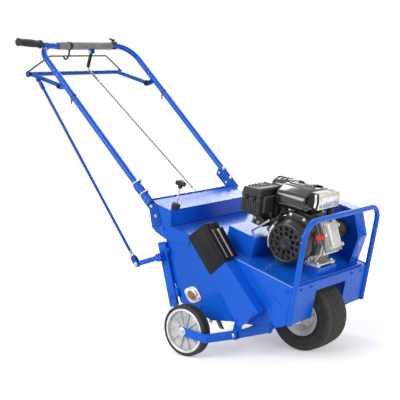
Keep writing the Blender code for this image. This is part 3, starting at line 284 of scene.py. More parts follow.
def show_apart(tree, output, carried, seen):
    """One shader for the rays that carry light, the other for camera, mirror and glass rays."""
    path = add(tree, "LightPath")
    share = path.outputs["Is Camera Ray"]
    for name in ("Is Glossy Ray", "Is Transmission Ray"):
        share = add(tree, "Math", {0: share, 1: path.outputs[name]}, operation="MAXIMUM").outputs[0]
    mix = add(tree, "MixShader", {"Fac": share, 1: carried, 2: seen})
    add(tree, output, {"Surface": mix.outputs[0]})


def make_world():
    """An even pale dome, seen as plain white."""
    made = bpy.context.scene.world = bpy.data.worlds.new("studio")
    tree = empty_tree(made)
    light, backdrop = (add(tree, "Background", {"Color": WHITE, "Strength": strength}).outputs[0]
                       for strength in (WORLD_LIGHT, 1))
    show_apart(tree, "OutputWorld", light, backdrop)


def make_floor():
    """A plain pale floor that reads white and keeps the shadow."""
    mesh = bpy.data.meshes.new("floor")
    corners = [(x * FLOOR_HALF, y * FLOOR_HALF, FLOOR_Z) for x, y in box(-1, 1, -1, 1)]
    mesh.from_pydata(corners, [], [(0, 1, 2, 3)])
    floor = new_object("floor", mesh)
    made = bpy.data.materials.new("floor_finish")
    tree = empty_tree(made)
    plain = add(tree, "BsdfDiffuse", {"Color": (0.75, 0.75, 0.76, 1)})
    dull = add(tree, "BsdfDiffuse", {"Color": (0.96, 0.96, 0.965, 1)})
    glow = add(tree, "Emission", {"Color": WHITE, "Strength": FLOOR_GLOW})
    both = add(tree, "AddShader", {0: dull.outputs[0], 1: glow.outputs[0]})
    show_apart(tree, "OutputMaterial", plain.outputs[0], both.outputs[0])
    mesh.materials.append(made)


def make_lamp(name, kind, way, power):
    """A lamp that shines along way."""
    data = bpy.data.lights.new(name, kind)
    data.energy = power
    lamp = new_object(name, data)
    lamp.rotation_mode = "QUATERNION"
    lamp.rotation_quaternion = Vector(way).to_track_quat("-Z", "Y")
    return lamp


def make_lights():
    """A soft sun, and three panels that the glossy paint mirrors as a pale sheen."""
    make_lamp("key", "SUN", SUN_WAY, SUN_LIGHT).data.angle = radians(SUN_SOFTNESS)
    for name, at, aim, size, power in PANELS:
        lamp = make_lamp(name, "AREA", Vector(aim) - Vector(at), power)
        lamp.data.shape = "RECTANGLE"
        lamp.data.size, lamp.data.size_y = size
        lamp.location = at
        lamp.visible_camera = False


# Finish of the CAD nodes

def dress_nodes():
    """Each CAD node takes the finish of its slot."""
    for row in frame["record"]["subparts"]:
        node = frame["nodes"][row["node"]]
        node.data.materials.clear()
        node.data.materials.append(finishes[row["material_slot"]])


def soften_node(name):
    """Rounded edges on a sheet-metal node."""
    node = frame["nodes"][name]
    weld = node.modifiers.new("weld", "WELD")
    weld.merge_threshold = 0.00001
    bevel = node.modifiers.new("soften", "BEVEL")
    bevel.width = 1.2 * MM
    bevel.segments = 2
    bevel.limit_method = "ANGLE"
    bevel.angle_limit = radians(35)
    bevel.harden_normals = True


# Outlines and paths

def box(p0, p1, q0, q1):
    return [(p0, q0), (p1, q0), (p1, q1), (p0, q1)]


def circle(p, q, radius, count=24):
    return [(p + radius * cos(2 * pi * k / count), q + radius * sin(2 * pi * k / count))
            for k in range(count)]


def arc(centre, radius, start, stop, steps):
    """Points on a circular arc, in degrees."""
    turns = [radians(start + (stop - start) * k / steps) for k in range(steps + 1)]
    return [(centre[0] + radius * cos(turn), centre[1] + radius * sin(turn)) for turn in turns]


def rounded(outline, radius, steps=5):
    """An outline with each corner rounded off."""
    points = []
    for i, corner in enumerate(outline):
        corner = Vector(corner)
        a = Vector(outline[i - 1]) - corner
        b = Vector(outline[(i + 1) % len(outline)]) - corner
        reach = min(radius, a.length * 0.45, b.length * 0.45)
        start = corner + a.normalized() * reach
        end = corner + b.normalized() * reach
        for k in range(steps + 1):
            t = k / steps
            points.append(tuple(start * (1 - t) ** 2 + corner * 2 * t * (1 - t) + end * t ** 2))
    return points


def mirrored(half):
    """A turned profile closed by its mirror image."""
    return half + [(r, -y) for r, y in reversed(half)]


def filleted(points, bend, steps):
    """A path with each inner corner replaced by an arc of radius bend in mm."""
    path = [points[0]]
    for before, corner, after in zip(points, points[1:], points[2:]):
        a = (before - corner).normalized()
        b = (after - corner).normalized()
        half = a.angle(b) / 2
        reach = min(bend * MM / tan(half), (before - corner).length * 0.49,
                    (after - corner).length * 0.49)
        centre = corner + (a + b).normalized() * (reach * tan(half) / sin(half))
        first = corner + a * reach - centre
        last = corner + b * reach - centre
        turn = first.angle(last)
        axis = first.cross(last).normalized()
        for k in range(steps + 1):
            path.append(centre + Matrix.Rotation(turn * k / steps, 3, axis) @ first)
    return path + [points[-1]]


def helix(a, b, u, v, radius, turns, steps, first=0):
    """Points that wind about the line from a to b, from the direction u towards v."""
    points = []
    for k in range(steps + 1):
        turn = 2 * pi * (first + turns * k / steps)
        points.append(a.lerp(b, k / steps) + (u * cos(turn) + v * sin(turn)) * radius * MM)
    return points


def ring_of(at, u, v, radius, count, first=0):
    """Points spaced evenly round a point."""
    return helix(at, at, u, v, radius, 1, count, first)[:-1]


# Placing functions: each maps a point of a drawing and a depth to a point in metres

def side_on(place):
    """Places drawings of x and z, extruded along y."""
    return lambda p, q, t: place(p, t, q)


def from_front(place):
    """Places drawings of y and z, extruded along x."""
    return lambda p, q, t: place(t, p, q)


def spanned(at, p_way, q_way, t_way=LEFT):
    """Places drawings in the plane of two directions through a point."""
    return lambda p, q, t: at + (p_way * p + q_way * q + t_way * t) * MM


WORLD_SIDE, BODY_SIDE, ENGINE_SIDE = map(side_on, (world, body, engine))
ENGINE_FRONT = from_front(engine)


# Shapes: each is a bmesh in metres

def from_faces(points, faces):
    made = bmesh.new()
    verts = [made.verts.new(point) for point in points]
    for face in faces:
        made.faces.new([verts[index] for index in face])
    return made


SHARP = radians(30)


def soften(shape, width, segments):
    """Rounds every sharp edge."""
    if width > 0:
        bmesh.ops.recalc_face_normals(shape, faces=shape.faces)
        sharp = [edge for edge in shape.edges
                 if edge.is_manifold and edge.calc_face_angle(0) > SHARP]
        bmesh.ops.bevel(shape, geom=sharp, offset=width * MM, segments=segments, profile=0.5,
                        affect="EDGES", clamp_overlap=True)
    return shape


def plate(place, outline, low, high, soft=0.6, segments=2, holes=()):
    """An outline extruded from low to high, with rounded edges."""
    loops = [outline, *holes]
    drawn = [point for loop in loops for point in loop]
    count = len(drawn)
    points = [place(p, q, t) for t in (low, high) for p, q in drawn]
    caps = [range(count)]
    if holes:
        caps = tessellate_polygon([[Vector((p, q, 0)) for p, q in loop] for loop in loops])
    faces = [list(cap) for cap in caps] + [[index + count for index in reversed(cap)]
                                           for cap in caps]
    start = 0
    for loop in loops:
        for i in range(len(loop)):
            a, b = start + i, start + (i + 1) % len(loop)
            faces.append((a, b, b + count, a + count))
        start += len(loop)
    return soften(from_faces(points, faces), soft, segments)


def block(place, x, y, z, soft=1, segments=2):
    """A block between three pairs of limits."""
    return plate(place, box(*x, *y), *z, soft, segments)


def bar(a, b, half, low, high, holes=(), soft=1):
    """A flat bar with round ends between two points of one side view; y from low to high."""
    p, q = ((point.x / MM - FRAME_SHIFT, point.z / MM) for point in (a, b))
    angle = degrees(atan2(q[1] - p[1], q[0] - p[0]))
    outline = arc(q, half, angle - 90, angle + 90, 12) + arc(p, half, angle + 90, angle + 270, 12)
    return plate(WORLD_SIDE, outline, low, high, soft, holes=holes)


def turned(at, way, profile, count=48):
    """A shape turned about the line through at along way, from (radius, distance) pairs."""
    way = Vector(way).normalized()
    side = way.orthogonal().normalized()
    third = way.cross(side)
    points, rings = [], []
    for radius, along in profile:
        size = count if radius else 1
        rings.append([len(points) + k % size for k in range(count)])
        for k in range(size):
            turn = 2 * pi * k / count
            points.append(at + (way * along + (side * cos(turn) + third * sin(turn)) * radius) * MM)
    faces = []
    for a, b in zip(rings, rings[1:] + rings[:1]):
        for k in range(count):
            n = (k + 1) % count
            face = tuple(dict.fromkeys((a[k], a[n], b[n], b[k])))
            if len(face) > 2:
                faces.append(face)
    return from_faces(points, faces)


def rod(at, way, radius, low, high, count=24):
    return turned(at, way, [(0, low), (radius, low), (radius, high), (0, high)], count)


def collar(at, way, inner, outer, low, high, count=28):
    return turned(at, way, [(inner, low), (outer, low), (outer, high), (inner, high)], count)


def skin(size, total, closed):
    """Faces between rings of points; an open row of rings gets two end caps."""
    faces = []
    for i in range(total if closed else total - 1):
        j = (i + 1) % total
        for k in range(size):
            n = (k + 1) % size
            faces.append((i * size + k, i * size + n, j * size + n, j * size + k))
    if not closed:
        faces += [range(size), range((total - 1) * size, total * size)]
    return faces


def tube(points, radius, bend=0, steps=10, count=20):
    """A round bar along a path; radius is a value or a function of the share of the way."""
    path = filleted(points, bend, steps) if bend else points
    last = len(path) - 1
    tangents = [(path[min(i + 1, last)] - path[max(i - 1, 0)]).normalized()
                for i in range(last + 1)]
    side = tangents[0].orthogonal().normalized()
    verts = []
    for i, (point, tangent) in enumerate(zip(path, tangents)):
        side = (side - tangent * side.dot(tangent)).normalized()
        width = radius(i / last) if callable(radius) else radius
        verts += ring_of(point, side, tangent.cross(side), width, count)
    return from_faces(verts, skin(count, last + 1, False))


WASHER = 1.4


def hex_head(at, way, radius, height, washer=True):
    """A chamfered bolt head or nut on a washer that sits on the surface at the point."""
    base = WASHER if washer else 0
    low, high = base - 0.2, base + height
    rim = [(0, 0), (radius * 1.45, 0), (radius * 1.45, 1), (radius * 1.38, base), (0, base)]
    head = [(0, low), (radius, low), (radius, base + height * 0.75), (radius * 0.86, high),
            (0, high)]
    return ([turned(at, way, rim, 24)] if washer else []) + [turned(at, way, head, 6)]


def bolt_end(at, way, radius, length):
    """The threaded end of a bolt: a bar with rings."""
    pitch = 1.2
    count = int(length / pitch)
    profile = [(0, 0)]
    for k in range(count):
        profile += [(radius, k * pitch), (radius * 0.88, k * pitch + pitch / 2)]
    return turned(at, way, profile + [(0, count * pitch)], 16)


def weld_bead(path, radius=2.2):
    """A rippled weld along a path of points."""
    dense = []
    for a, b in zip(path, path[1:]):
        count = max(2, int((b - a).length / (1.1 * MM)))
        dense += [a.lerp(b, k / count) for k in range(count)]
    total = len(dense)
    return tube(dense + [path[-1]],
                lambda share: radius * (0.82 + 0.18 * sin(share * total * 1.9)), count=8)


def flat(shapes):
    """The shapes of nested lists in one row."""
    for shape in shapes:
        if isinstance(shape, list):
            yield from flat(shape)
        else:
            yield shape


def piece(name, finish_name, shapes, *stands_for, rides="frame", slot=None, crease=32):
    """Joins shapes into one named piece on a CAD body, shaded smooth up to the crease angle.

    The slot argument is not used.
    A piece with no body to ride is attached to no body.
    """
    whole = bmesh.new()
    for shape in flat(shapes):
        part = bpy.data.meshes.new("part")
        shape.to_mesh(part)
        shape.free()
        whole.from_mesh(part)
        bpy.data.meshes.remove(part)
    bmesh.ops.recalc_face_normals(whole, faces=whole.faces)
    mesh = bpy.data.meshes.new(name)
    whole.to_mesh(mesh)
    whole.free()
    mesh.polygons.foreach_set("use_smooth", [True] * len(mesh.polygons))
    mesh.set_sharp_from_angle(angle=radians(crease))
    mesh.materials.append(finishes[finish_name])
    obj = new_object(name, mesh)
    if rides:
        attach(obj, rides)
    if stands_for:
        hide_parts(*stands_for)
    return obj


# Wheels

FRONT_AT = body(384, 0, -191.5)
FRONT_RADIUS = 140.4
RIM_RADIUS = 75
CROWN_DROP = 3.4
CROWN_HALF = 51
REAR_RADIUS = 101.6
REAR_OUT = 402.3
REAR_IN = 358.3
REAR_AXLE = world(0, 0, REAR_RADIUS)


def front_tyre():
    """The wide tyre: five ribs with hairline cuts, round shoulders and ringed side walls."""
    side = [(RIM_RADIUS, 56), (80, 62.5), (88, 66.5), (95, 68.6), (96, 69.6), (98, 69.6), (99, 69),
            (108, 70), (116, 69.6), (117, 70), (118.5, 69.6)]
    side += arc((124, 55), 14.4, 78, 22, 8)
    crown = []

    def reach(y):
        return FRONT_RADIUS - CROWN_DROP * (abs(y) / CROWN_HALF) ** 2

    ribs = ((51, 33), (28.5, 12), (7.5, -7.5), (-12, -28.5), (-33, -51))
    for k, (left, right) in enumerate(ribs):
        mid = (left + right) / 2
        for y, drop in ((left, 0.8), (left - 0.8, 0), (mid + 0.7, 0), (mid + 0.5, 1.8),
                        (mid - 0.5, 1.8), (mid - 0.7, 0), (right + 0.8, 0), (right, 0.8)):
            crown.append((reach(y) - drop, y))
        if k < len(ribs) - 1:
            crown += [(reach(right) - 6, y) for y in (right - 0.8, ribs[k + 1][0] + 0.8)]
    profile = side + crown + [(r, -y) for r, y in reversed(side)]
    piece("front_tyre_shaped", "tyre_rubber", [turned(FRONT_AT, LEFT, profile, 112)], "front_tyre",
          rides="front_wheel", crease=28)


def front_rim():
    """The pressed rim: rolled lips, deep wells, nuts, bearing collars and a valve."""
    half = [(11, 96), (19, 96), (20, 95), (20, 27), (24, 24), (40, 22.5), (50, 24.5), (56, 30),
            (58, 44), (62, 56), (66, 58), (70, 60), (73, 64.5), (75.5, 66.5), (77, 65.5),
            (76, 62.5), (73.8, 58), (73.5, 40)]
    piece("front_rim_shaped", "rim", [turned(FRONT_AT, LEFT, mirrored(half), 96)], "front_rim",
          rides="front_wheel", slot="silver_steel", crease=40)
    bearing = [(11, 80), (24, 80), (25, 81), (25, 90), (24, 91), (11, 91)]
    nuts = []
    for s in BOTH:
        for at in ring_of(FRONT_AT + LEFT * s * 0.0226, ALONG, UP, 36, 5, 0.05):
            nuts += [hex_head(at, LEFT * s, 6, 5.5),
                     bolt_end(at + LEFT * s * 0.006, LEFT * s, 3, 4)]
        nuts.append(turned(FRONT_AT, LEFT, [(r, s * y) for r, y in bearing], 40))
    piece("front_rim_nuts", "zinc_steel", nuts, rides="front_wheel")
    root = FRONT_AT + UP * 0.0655 - LEFT * 0.054
    piece("tyre_valve", "black_rubber", [
        tube([root - UP * 0.004 + LEFT * 0.002, root - LEFT * 0.012 - UP * 0.006], 3.6, count=14),
        tube([root - LEFT * 0.011 - UP * 0.0057, root - LEFT * 0.024 - UP * 0.009], 2.6, count=12),
    ], rides="front_wheel")


def rear_wheel(s, word):
    """A thin ribbed tyre on a pale moulded hub with ten ribs, and a bright silver ring painted as
    the highlight on the hub's outer edge.
    """
    rides = f"rear_wheel_{word}"
    mid = (REAR_OUT + REAR_IN) / 2
    half = (REAR_OUT - REAR_IN) / 2 - 1
    tread = []
    for k in range(9):
        y = -half + 7 + (2 * half - 14) * k / 8
        crown = REAR_RADIUS - 0.9 * (y / half) ** 2
        tread += [(crown, y - 1), (crown, y + 1)]
        if k < 8:
            tread += [(REAR_RADIUS - 1.7, y + 1.3), (REAR_RADIUS - 1.7, y + 2.2)]
    shoulder = [(88.3, -half), (91, -half - 0.4), (94, -half)]
    shoulder += arc((95.6, -half + 6), 6, 285, 350, 6)
    profile = shoulder + tread + [(r, -y) for r, y in reversed(shoulder)]
    profile = [(r, s * (mid + y)) for r, y in profile]
    piece(f"rear_tyre_{word}_shaped", "black_rubber", [turned(REAR_AXLE, LEFT, profile, 96)],
          f"rear_tyre_{word}", rides=rides, crease=28)
    # The hub's profile: (radius, depth below the outer face)
    width = REAR_OUT - REAR_IN
    rim = [(8.6, 1), (17.5, 1), (19, 2.5), (20, 11.5), (60, 12.5), (76, 12), (77.5, 3), (79, 0.4),
           (82, 0), (85.5, 0.2), (87.6, 1.2), (88.1, 3), (88.1, width - 3), (78.5, width - 3),
           (77, 19), (20, 19.5), (19, width - 4), (8.6, width - 4)]
    shapes = [turned(REAR_AXLE, LEFT, [(r, s * (REAR_OUT - depth)) for r, depth in rim], 80)]
    rib = [(17, -3.2), (78, -2.2), (78, 2.2), (17, 3.2)]
    for k in range(10):
        turn = 2 * pi * k / 10
        place = spanned(REAR_AXLE, Vector((cos(turn), 0, sin(turn))),
                        Vector((-sin(turn), 0, cos(turn))),
                        LEFT * s)
        shapes += [plate(place, rib, REAR_OUT - low, REAR_OUT - high, 1)
                   for low, high in ((14, 6.5), (26, 18.5))]
    piece(f"rear_hub_{word}_shaped", "grey_plastic", shapes, f"rear_hub_{word}", rides=rides)
    # Painted highlight: a bright silver ring where light catches the hub's outer edge.
    highlight_ring = [(79, 0.05), (80, 0.5), (84.5, 0.5), (85.5, 0.05)]
    piece(f"rear_hub_highlight_{word}", "silver_steel",
          [turned(REAR_AXLE, LEFT, [(r, s * (REAR_OUT + y)) for r, y in highlight_ring], 80)], rides=rides)


# Tubes of the handle and the guard bar

LEG_Y = 295.4
LEG_FOOT = (-262, 568)
GRIP_BAR = (-908, 1197)
BAR_X, BAR_Z = GRIP_BAR
HANDLE_TUBE = 12.7
BAIL_PIVOT = (-777, 1025)
BAIL_ROD = (-888, 1053)
BAIL_BAR = (-968, 1074)
BAIL_ARM_Y = 279
U_BOLTS_AT = (0.048, 0.104)
TIE_SHARE = 0.66
STUB = (world(BAR_X + 6, -185, BAR_Z), world(BAR_X + 20, -420, BAR_Z + 16))


def leg(s):
    """The foot of a handle leg, its top and the way up along it."""
    foot, top = (world(x, s * LEG_Y, z) for x, z in (LEG_FOOT, GRIP_BAR))
    return foot, top, (top - foot).normalized()


def handle():
    """The bent handle tube with its stub, lugs and lever brackets, its bolts and its cable ties."""
    (right, right_top, _), (left, left_top, _) = leg(-1), leg(1)
    px, pz = BAIL_PIVOT
    shapes = [tube([right, right_top, left_top, left], HANDLE_TUBE, 90, 16, 28),
              tube(STUB, 10.5, count=24)]
    lug = [(px - 11, pz - 4), (px + 2, pz - 12), (px + 44, pz + 8), (px + 36, pz + 32),
           (px - 4, pz + 11)]
    for s in BOTH:
        shapes.append(plate(WORLD_SIDE, rounded(lug, 8), s * 291, s * 299, 0.8))
        shapes.append(rod(world(px, s * 265.5, pz), LEFT * s, 5, 0, 33, 20))
    for k in (0, 18):
        shapes.append(block(world, (BAR_X - 4, BAR_X + 16), (24 + k, 28 + k),
                            (BAR_Z - 34, BAR_Z - 8), 1.2))
    shapes.append(weld_bead([world(BAR_X - 4, -186, BAR_Z - 12.5),
                             world(BAR_X + 8, -186, BAR_Z - 12.8)]))
    piece("handle_tube", "blue_paint", shapes, "handle_bar")
    piece("throttle_block", "black_plastic", [
        block(world, (BAR_X - 14, BAR_X + 14), (178, 202), (BAR_Z + 6, BAR_Z + 20), 3, 3),
        block(world, (BAR_X - 12, BAR_X + 12), (180, 200), (BAR_Z - 16, BAR_Z - 6), 2)])
    steel, pivots, ties = [], [], []
    down = Vector((-0.55, 0, -0.83))
    for s in BOTH:
        pivots += [hex_head(world(px, s * 266.5, pz), -LEFT * s, 8, 5),
                   hex_head(world(px, s * 299, pz), LEFT * s, 7, 5)]
        foot, top, way = leg(s)
        steel += [u_bolt(foot + way * reach, way, s) for reach in U_BOLTS_AT]
        at = foot + (top - foot) * TIE_SHARE
        below = at + down * 0.017
        ties += [collar(at, way, 13, 14.6, -2.4, 2.4),
                 tube([below, below + Vector((-0.25, 0, -0.96)) * 0.018], 2.4, count=10),
                 tube([below, below + down * 0.006], 4.2, count=10)]
    steel += [hex_head(world(BAR_X + 6, y, BAR_Z - 26), way, 5.5, 4)
              for y, way in ((42.4, LEFT), (23.6, -LEFT))]
    piece("handle_bolts", "zinc_steel", steel)
    piece("bail_pivot_bolts", "black_metal", pivots)
    piece("leg_ties", "black_plastic", ties)


def u_bolt(at, way, s):
    """A bent wire round a handle leg with two nuts on the inner side of its bracket."""
    across = LEFT * s
    other = way.cross(across).normalized()
    radius = HANDLE_TUBE + 3.2
    inner = -across * 14.5 * MM
    bend = helix(at, at, other, across, radius, 0.5, 8)
    nuts = [hex_head(at + other * side * radius * MM - across * 0.0128, -across, 5.6, 4.5)
            for side in BOTH]
    return [tube([bend[0] + inner, *bend, bend[-1] + inner], 3, count=12), nuts]


def grips():
    """The grey sleeve on the crossbar and the black moulded grip on the stub."""
    end = [(HANDLE_TUBE + 0.6, -171), (15.6, -171), (17, -169)]
    rings = 56
    grooves = [(17 - 0.35 * (k % 2), -167 + 334 * k / rings) for k in range(rings + 1)]
    sleeve = end + grooves + [(r, -y) for r, y in reversed(end)]
    piece("bar_sleeve", "grey_foam", [turned(world(BAR_X, 0, BAR_Z), LEFT, sleeve, 36)], "bar_grip")
    start, length, rings = 100, 138, 34
    stop = start + length
    profile = [(10.9, start), (16.5, start), (18.6, start + 1.5), (18.6, start + 5.5),
               (16, start + 8)]
    for k in range(rings):
        share = k / (rings - 1)
        swell = 15.2 + 1.6 * sin(pi * share) ** 2
        profile.append((swell - 0.55 * (k % 2), start + 9 + (length - 20) * share))
    profile += [(17, stop - 8), (17.6, stop - 3), (15.5, stop), (0, stop + 0.6), (0, start + 40),
                (10.9, start + 40)]
    piece("side_sleeve", "black_rubber", [turned(STUB[0], STUB[1] - STUB[0], profile, 40)],
          "side_grip")


def bull_bar():
    """The smooth guard bar, its seams with the body and two small bolts on the right leg."""
    foot, top = (457, -148), (420.5, 254)
    reach = 269.3
    path = [body(u, s * reach, w) for s, (u, w) in ((-1, foot), (-1, top), (1, top), (1, foot))]
    shapes = [tube(path, 10.7, 62, 14, 28)]
    for s in BOTH:
        inner = s * (reach - 10.5)
        edge = s * 273.4
        shapes.append(weld_bead([body(foot[0] - 3, inner, foot[1] + 4), body(443, inner, -2)], 2.6))
        shapes.append(tube([body(foot[0] - 10.4, edge, foot[1] + 2), body(433.2, edge, -1)], 2.4,
                           count=12))
    piece("guard_bar", "blue_paint", shapes, "bull_bar")
    bolts = []
    for w in (178, 204):
        u = foot[0] + (top[0] - foot[0]) * (w - foot[1]) / (top[1] - foot[1])
        bolts.append(hex_head(body(u - 2, -reach - 10.4, w), -LEFT, 4.2, 3.4))
    # Painted highlight: the bolts take a paler blue than the bar, for light on their heads.
    piece("guard_bar_bolts", "bolt_highlight_blue", bolts, slot="blue_paint")


# Engine

CRANK_H = 92
CYLINDER_ROOT = (24, 84)
CYLINDER_LEAN = radians(24)
CAP_AT = (-18, -20)
FORTH = (engine(1, 0, 0) - engine(0, 0, 0)).normalized()
RISE = (engine(0, 0, 1) - engine(0, 0, 0)).normalized()
CRANK_LINE = engine(0, 0, CRANK_H)


def lean(p, q):
    """Engine x and z of a point of the leaning cylinder: p out from its root, q across."""
    return (CYLINDER_ROOT[0] + p * cos(CYLINDER_LEAN) - q * sin(CYLINDER_LEAN),
            CYLINDER_ROOT[1] + p * sin(CYLINDER_LEAN) + q * cos(CYLINDER_LEAN))


def leaning(p, q, t):
    """Places drawings in the cylinder's side view, extruded along y."""
    x, z = lean(p, q)
    return engine(x, t, z)


def crankcase():
    """The crankcase casting: ribbed walls, feet, side cover, filler plug and bolts."""
    outline = [(-72, 10), (48, 10), (44.3, 38.3), (3.7, 129.7), (-16, 148), (-44, 152), (-76, 112)]
    cover = [(0, 80), (64, 80), (65, 82), (64, 86), (58, 92), (30, 93), (26, 97), (24, 98), (0, 98)]
    boss = [(0, 0), (8, 0), (8, 6), (7, 7), (0, 7)]
    round_cover = ring_of(CRANK_LINE, FORTH, RISE, 55, 6)
    rib = [(40, 11), (56, 11), (52, 34), (30, 84), (24, 84)]
    piece("crankcase_casting", "cast_aluminium", [
        plate(ENGINE_SIDE, rounded(outline, 10), -91, 82, 3, 3),
        [block(engine, (-92, 92), span, (-2.6, 12), 3) for span in ((-66, -40), (36, 62))],
        block(engine, (-90, 90), (-60, 56), (2, 10), 2),
        [plate(ENGINE_SIDE, rib, y - 1.8, y + 1.8, 0.8) for y in range(-78, 67, 24)],
        turned(CRANK_LINE, LEFT, cover, 64),
        [turned(spot + LEFT * 0.084, LEFT, boss, 20) for spot in round_cover],
        turned(engine(42, -62, 52), FORTH, [(0, 0), (13, 0), (13, 10), (11.5, 12), (0, 12)], 24),
    ], "crankcase")
    piece("crankcase_bolts", "zinc_steel", [
        [hex_head(spot + LEFT * 0.091, LEFT, 5, 3.6) for spot in round_cover],
        [hex_head(engine(x, y, 12), RISE, 6.5, 5) for x in (-80, 80) for y in (-53, 49)],
        hex_head(engine(52, 20, 24), FORTH, 7, 6)])
    plug = [(0, 0), (10, 0), (10, 3), (15, 4), (15, 9), (13, 11), (0, 11)]
    piece("oil_plug", "black_plastic", [turned(engine(53, -62, 52), FORTH, plug, 10),
                                        block(engine, (63, 70), (-64, -60), (44, 60), 1.2)])


def cylinder():
    """The finned barrel with its head, valve cover and bolts."""
    place = side_on(leaning)
    shapes = [plate(place, box(0.3, 64, -37, 37), -42, 60, 3)]
    fin_pitch, fin_width = 6.6, 2.4
    for k in range(9):
        p = 4 + k * fin_pitch
        deep = 2 * (k % 2)
        low, high = deep - 54, 60 - deep
        fin = [(p, low), (p, high), (p + fin_width, high), (p + fin_width, low)]
        shapes.append(plate(place, fin, deep - 62, 74 - deep, 0.7))
    head = rounded([(64, -46), (64, 50), (79, 50), (79, -46)], 3)
    gasket = rounded([(79, -40), (79, 44), (84, 43), (84, -39)], 1)
    cover = rounded([(84, -34), (95, -32), (98, -26), (98, 30), (95, 36), (84, 38)], 3)
    panel = rounded([(97, -18), (99.6, -18), (99.6, 22), (97, 22)], 1)
    piece("cylinder_finned", "cast_aluminium", [
        shapes,
        plate(place, head, -46, 64, 2),
        [plate(place, [(66, q - 1.5), (66, q + 1.5), (82, q + 1.5), (82, q - 1.5)], -56, 70)
         for q in range(-50, 51, 25)],
        plate(place, gasket, -44, 62),
        plate(place, cover, -38, 57, 4, 4),
        plate(place, panel, -22, 42, 1.2),
    ], "cylinder")
    way = (leaning(1, 0, 0) - leaning(0, 0, 0)).normalized()
    piece("cover_bolts", "zinc_steel", [hex_head(leaning(84, q, y), way, 5.5, 4.5)
                                        for q in (-36, 40) for y in (-40, 58)])


def grille_holes():
    """Two rows of slots round the starter cup's face."""
    holes = []
    for count, inner, outer, share in ((10, 30.5, 45, 0.62), (14, 49.5, 66, 0.6)):
        for k in range(count):
            turn = 2 * pi * (k + 0.5) / count
            half = pi * share / count
            corners = ((inner, turn - half), (outer, turn - half * 0.9), (outer, turn + half * 0.9),
                       (inner, turn + half))
            holes.append(rounded([(reach * cos(angle), CRANK_H + reach * sin(angle))
                                  for reach, angle in corners], 2.5, 3))
    return holes


def recoil_cover():
    """The blower housing: its case, air duct, slotted starter cup, boss and screws, and pale strips
    painted as highlights on the cup's rim.
    """
    crank = (0, CRANK_H)
    case = [(76, 62), (76, 164), (44, 200), (-28, 205.7)] + arc(crank, 98, 128, 290, 30)
    lip = [(78, 60), (78, 166), (45, 202), (-29, 205.7)] + arc(crank, 99.5, 128, 290, 30)
    duct = [(-62, 166), (36, 166), (34, 198), (-30, 201), (-62, 196)]
    cup = [(72, 126), (88, 126), (90, 128), (90, 146), (89, 152), (86, 158), (82, 163), (81, 167),
           (79, 173), (75, 177), (71, 178), (68, 177), (67.5, 174), (70, 168), (72, 160)]
    boss = [(0, 174), (29, 174), (30, 176), (29, 179), (27, 180), (26, 179), (24, 179), (23, 181),
            (20, 183.5), (12, 184), (10, 183), (0, 183)]
    foot = [(0, 126), (9, 126), (9, 134), (7.5, 136), (0, 136)]
    round_cup = ring_of(CRANK_LINE, FORTH, RISE, 83.5, 5, 0.05)
    piece("recoil_housing", "cover_black", [
        plate(ENGINE_SIDE, rounded(case, 7), -92.4, -128, 6, 4),
        plate(ENGINE_SIDE, rounded(duct, 8), -97, 44, 5, 3),
        [plate(ENGINE_SIDE, box(x, x + 3, 163.6, 170), -90, 38, 0.8) for x in (-50, -26, -2, 22)],
        plate(ENGINE_SIDE, rounded(lip, 5), -92.4, -97.5, 1.6),
        turned(CRANK_LINE, -LEFT, cup, 96),
        plate(ENGINE_SIDE, circle(*crank, 70, 72), -172.5, -176, 0.7, holes=grille_holes()),
        turned(CRANK_LINE, -LEFT, [(0, 160), (66, 160), (70, 164), (70, 170), (0, 162)]),
        turned(CRANK_LINE, -LEFT, boss),
        [turned(spot, -LEFT, foot, 20) for spot in round_cup],
    ], "recoil_cover", slot="black_plastic")
    piece("recoil_screws", "zinc_steel", [
        [hex_head(spot - LEFT * 0.1358, -LEFT, 4.4, 3.4) for spot in round_cup],
        [hex_head(engine(x, -127.6, z), -LEFT, 4.4, 3.4)
         for x, z in ((66, 154), (40, 188), (-22, 195), (62, 74))]])
    # Painted highlight: pale metal strips on the cup's rim stand in for light catching its glossy
    # rounded edge.
    piece("cup_rim_highlights", "pale_metal", [
        plate(ENGINE_SIDE, arc(crank, 91.4, start, stop, 12) + arc(crank, 81.5, stop, start, 12),
              -146, -164.5, 1.4) for start, stop in ((143, 168), (172, 206))])


def recoil_grip():
    """The starter's T grip with its rope nose."""
    way = Vector((-0.61, 0.79)).normalized()
    at = engine(way.x * 96.4, -150, CRANK_H + way.y * 96.4)
    half = [(0, -18), (5.4, -18), (6.4, -16.5), (6.8, -12), (6.2, -5)]
    handle_profile = half + [(6.8, 0)] + [(r, -y) for r, y in reversed(half)]
    nose = [(0, 0), (5, 0), (4.4, 12), (3.6, 14), (0, 14)]
    piece("starter_grip", "black_plastic", [
        turned(at, LEFT, handle_profile, 24), turned(at, FORTH * way.x + RISE * way.y, nose, 20),
    ], "recoil_grip", rides="recoil_grip")


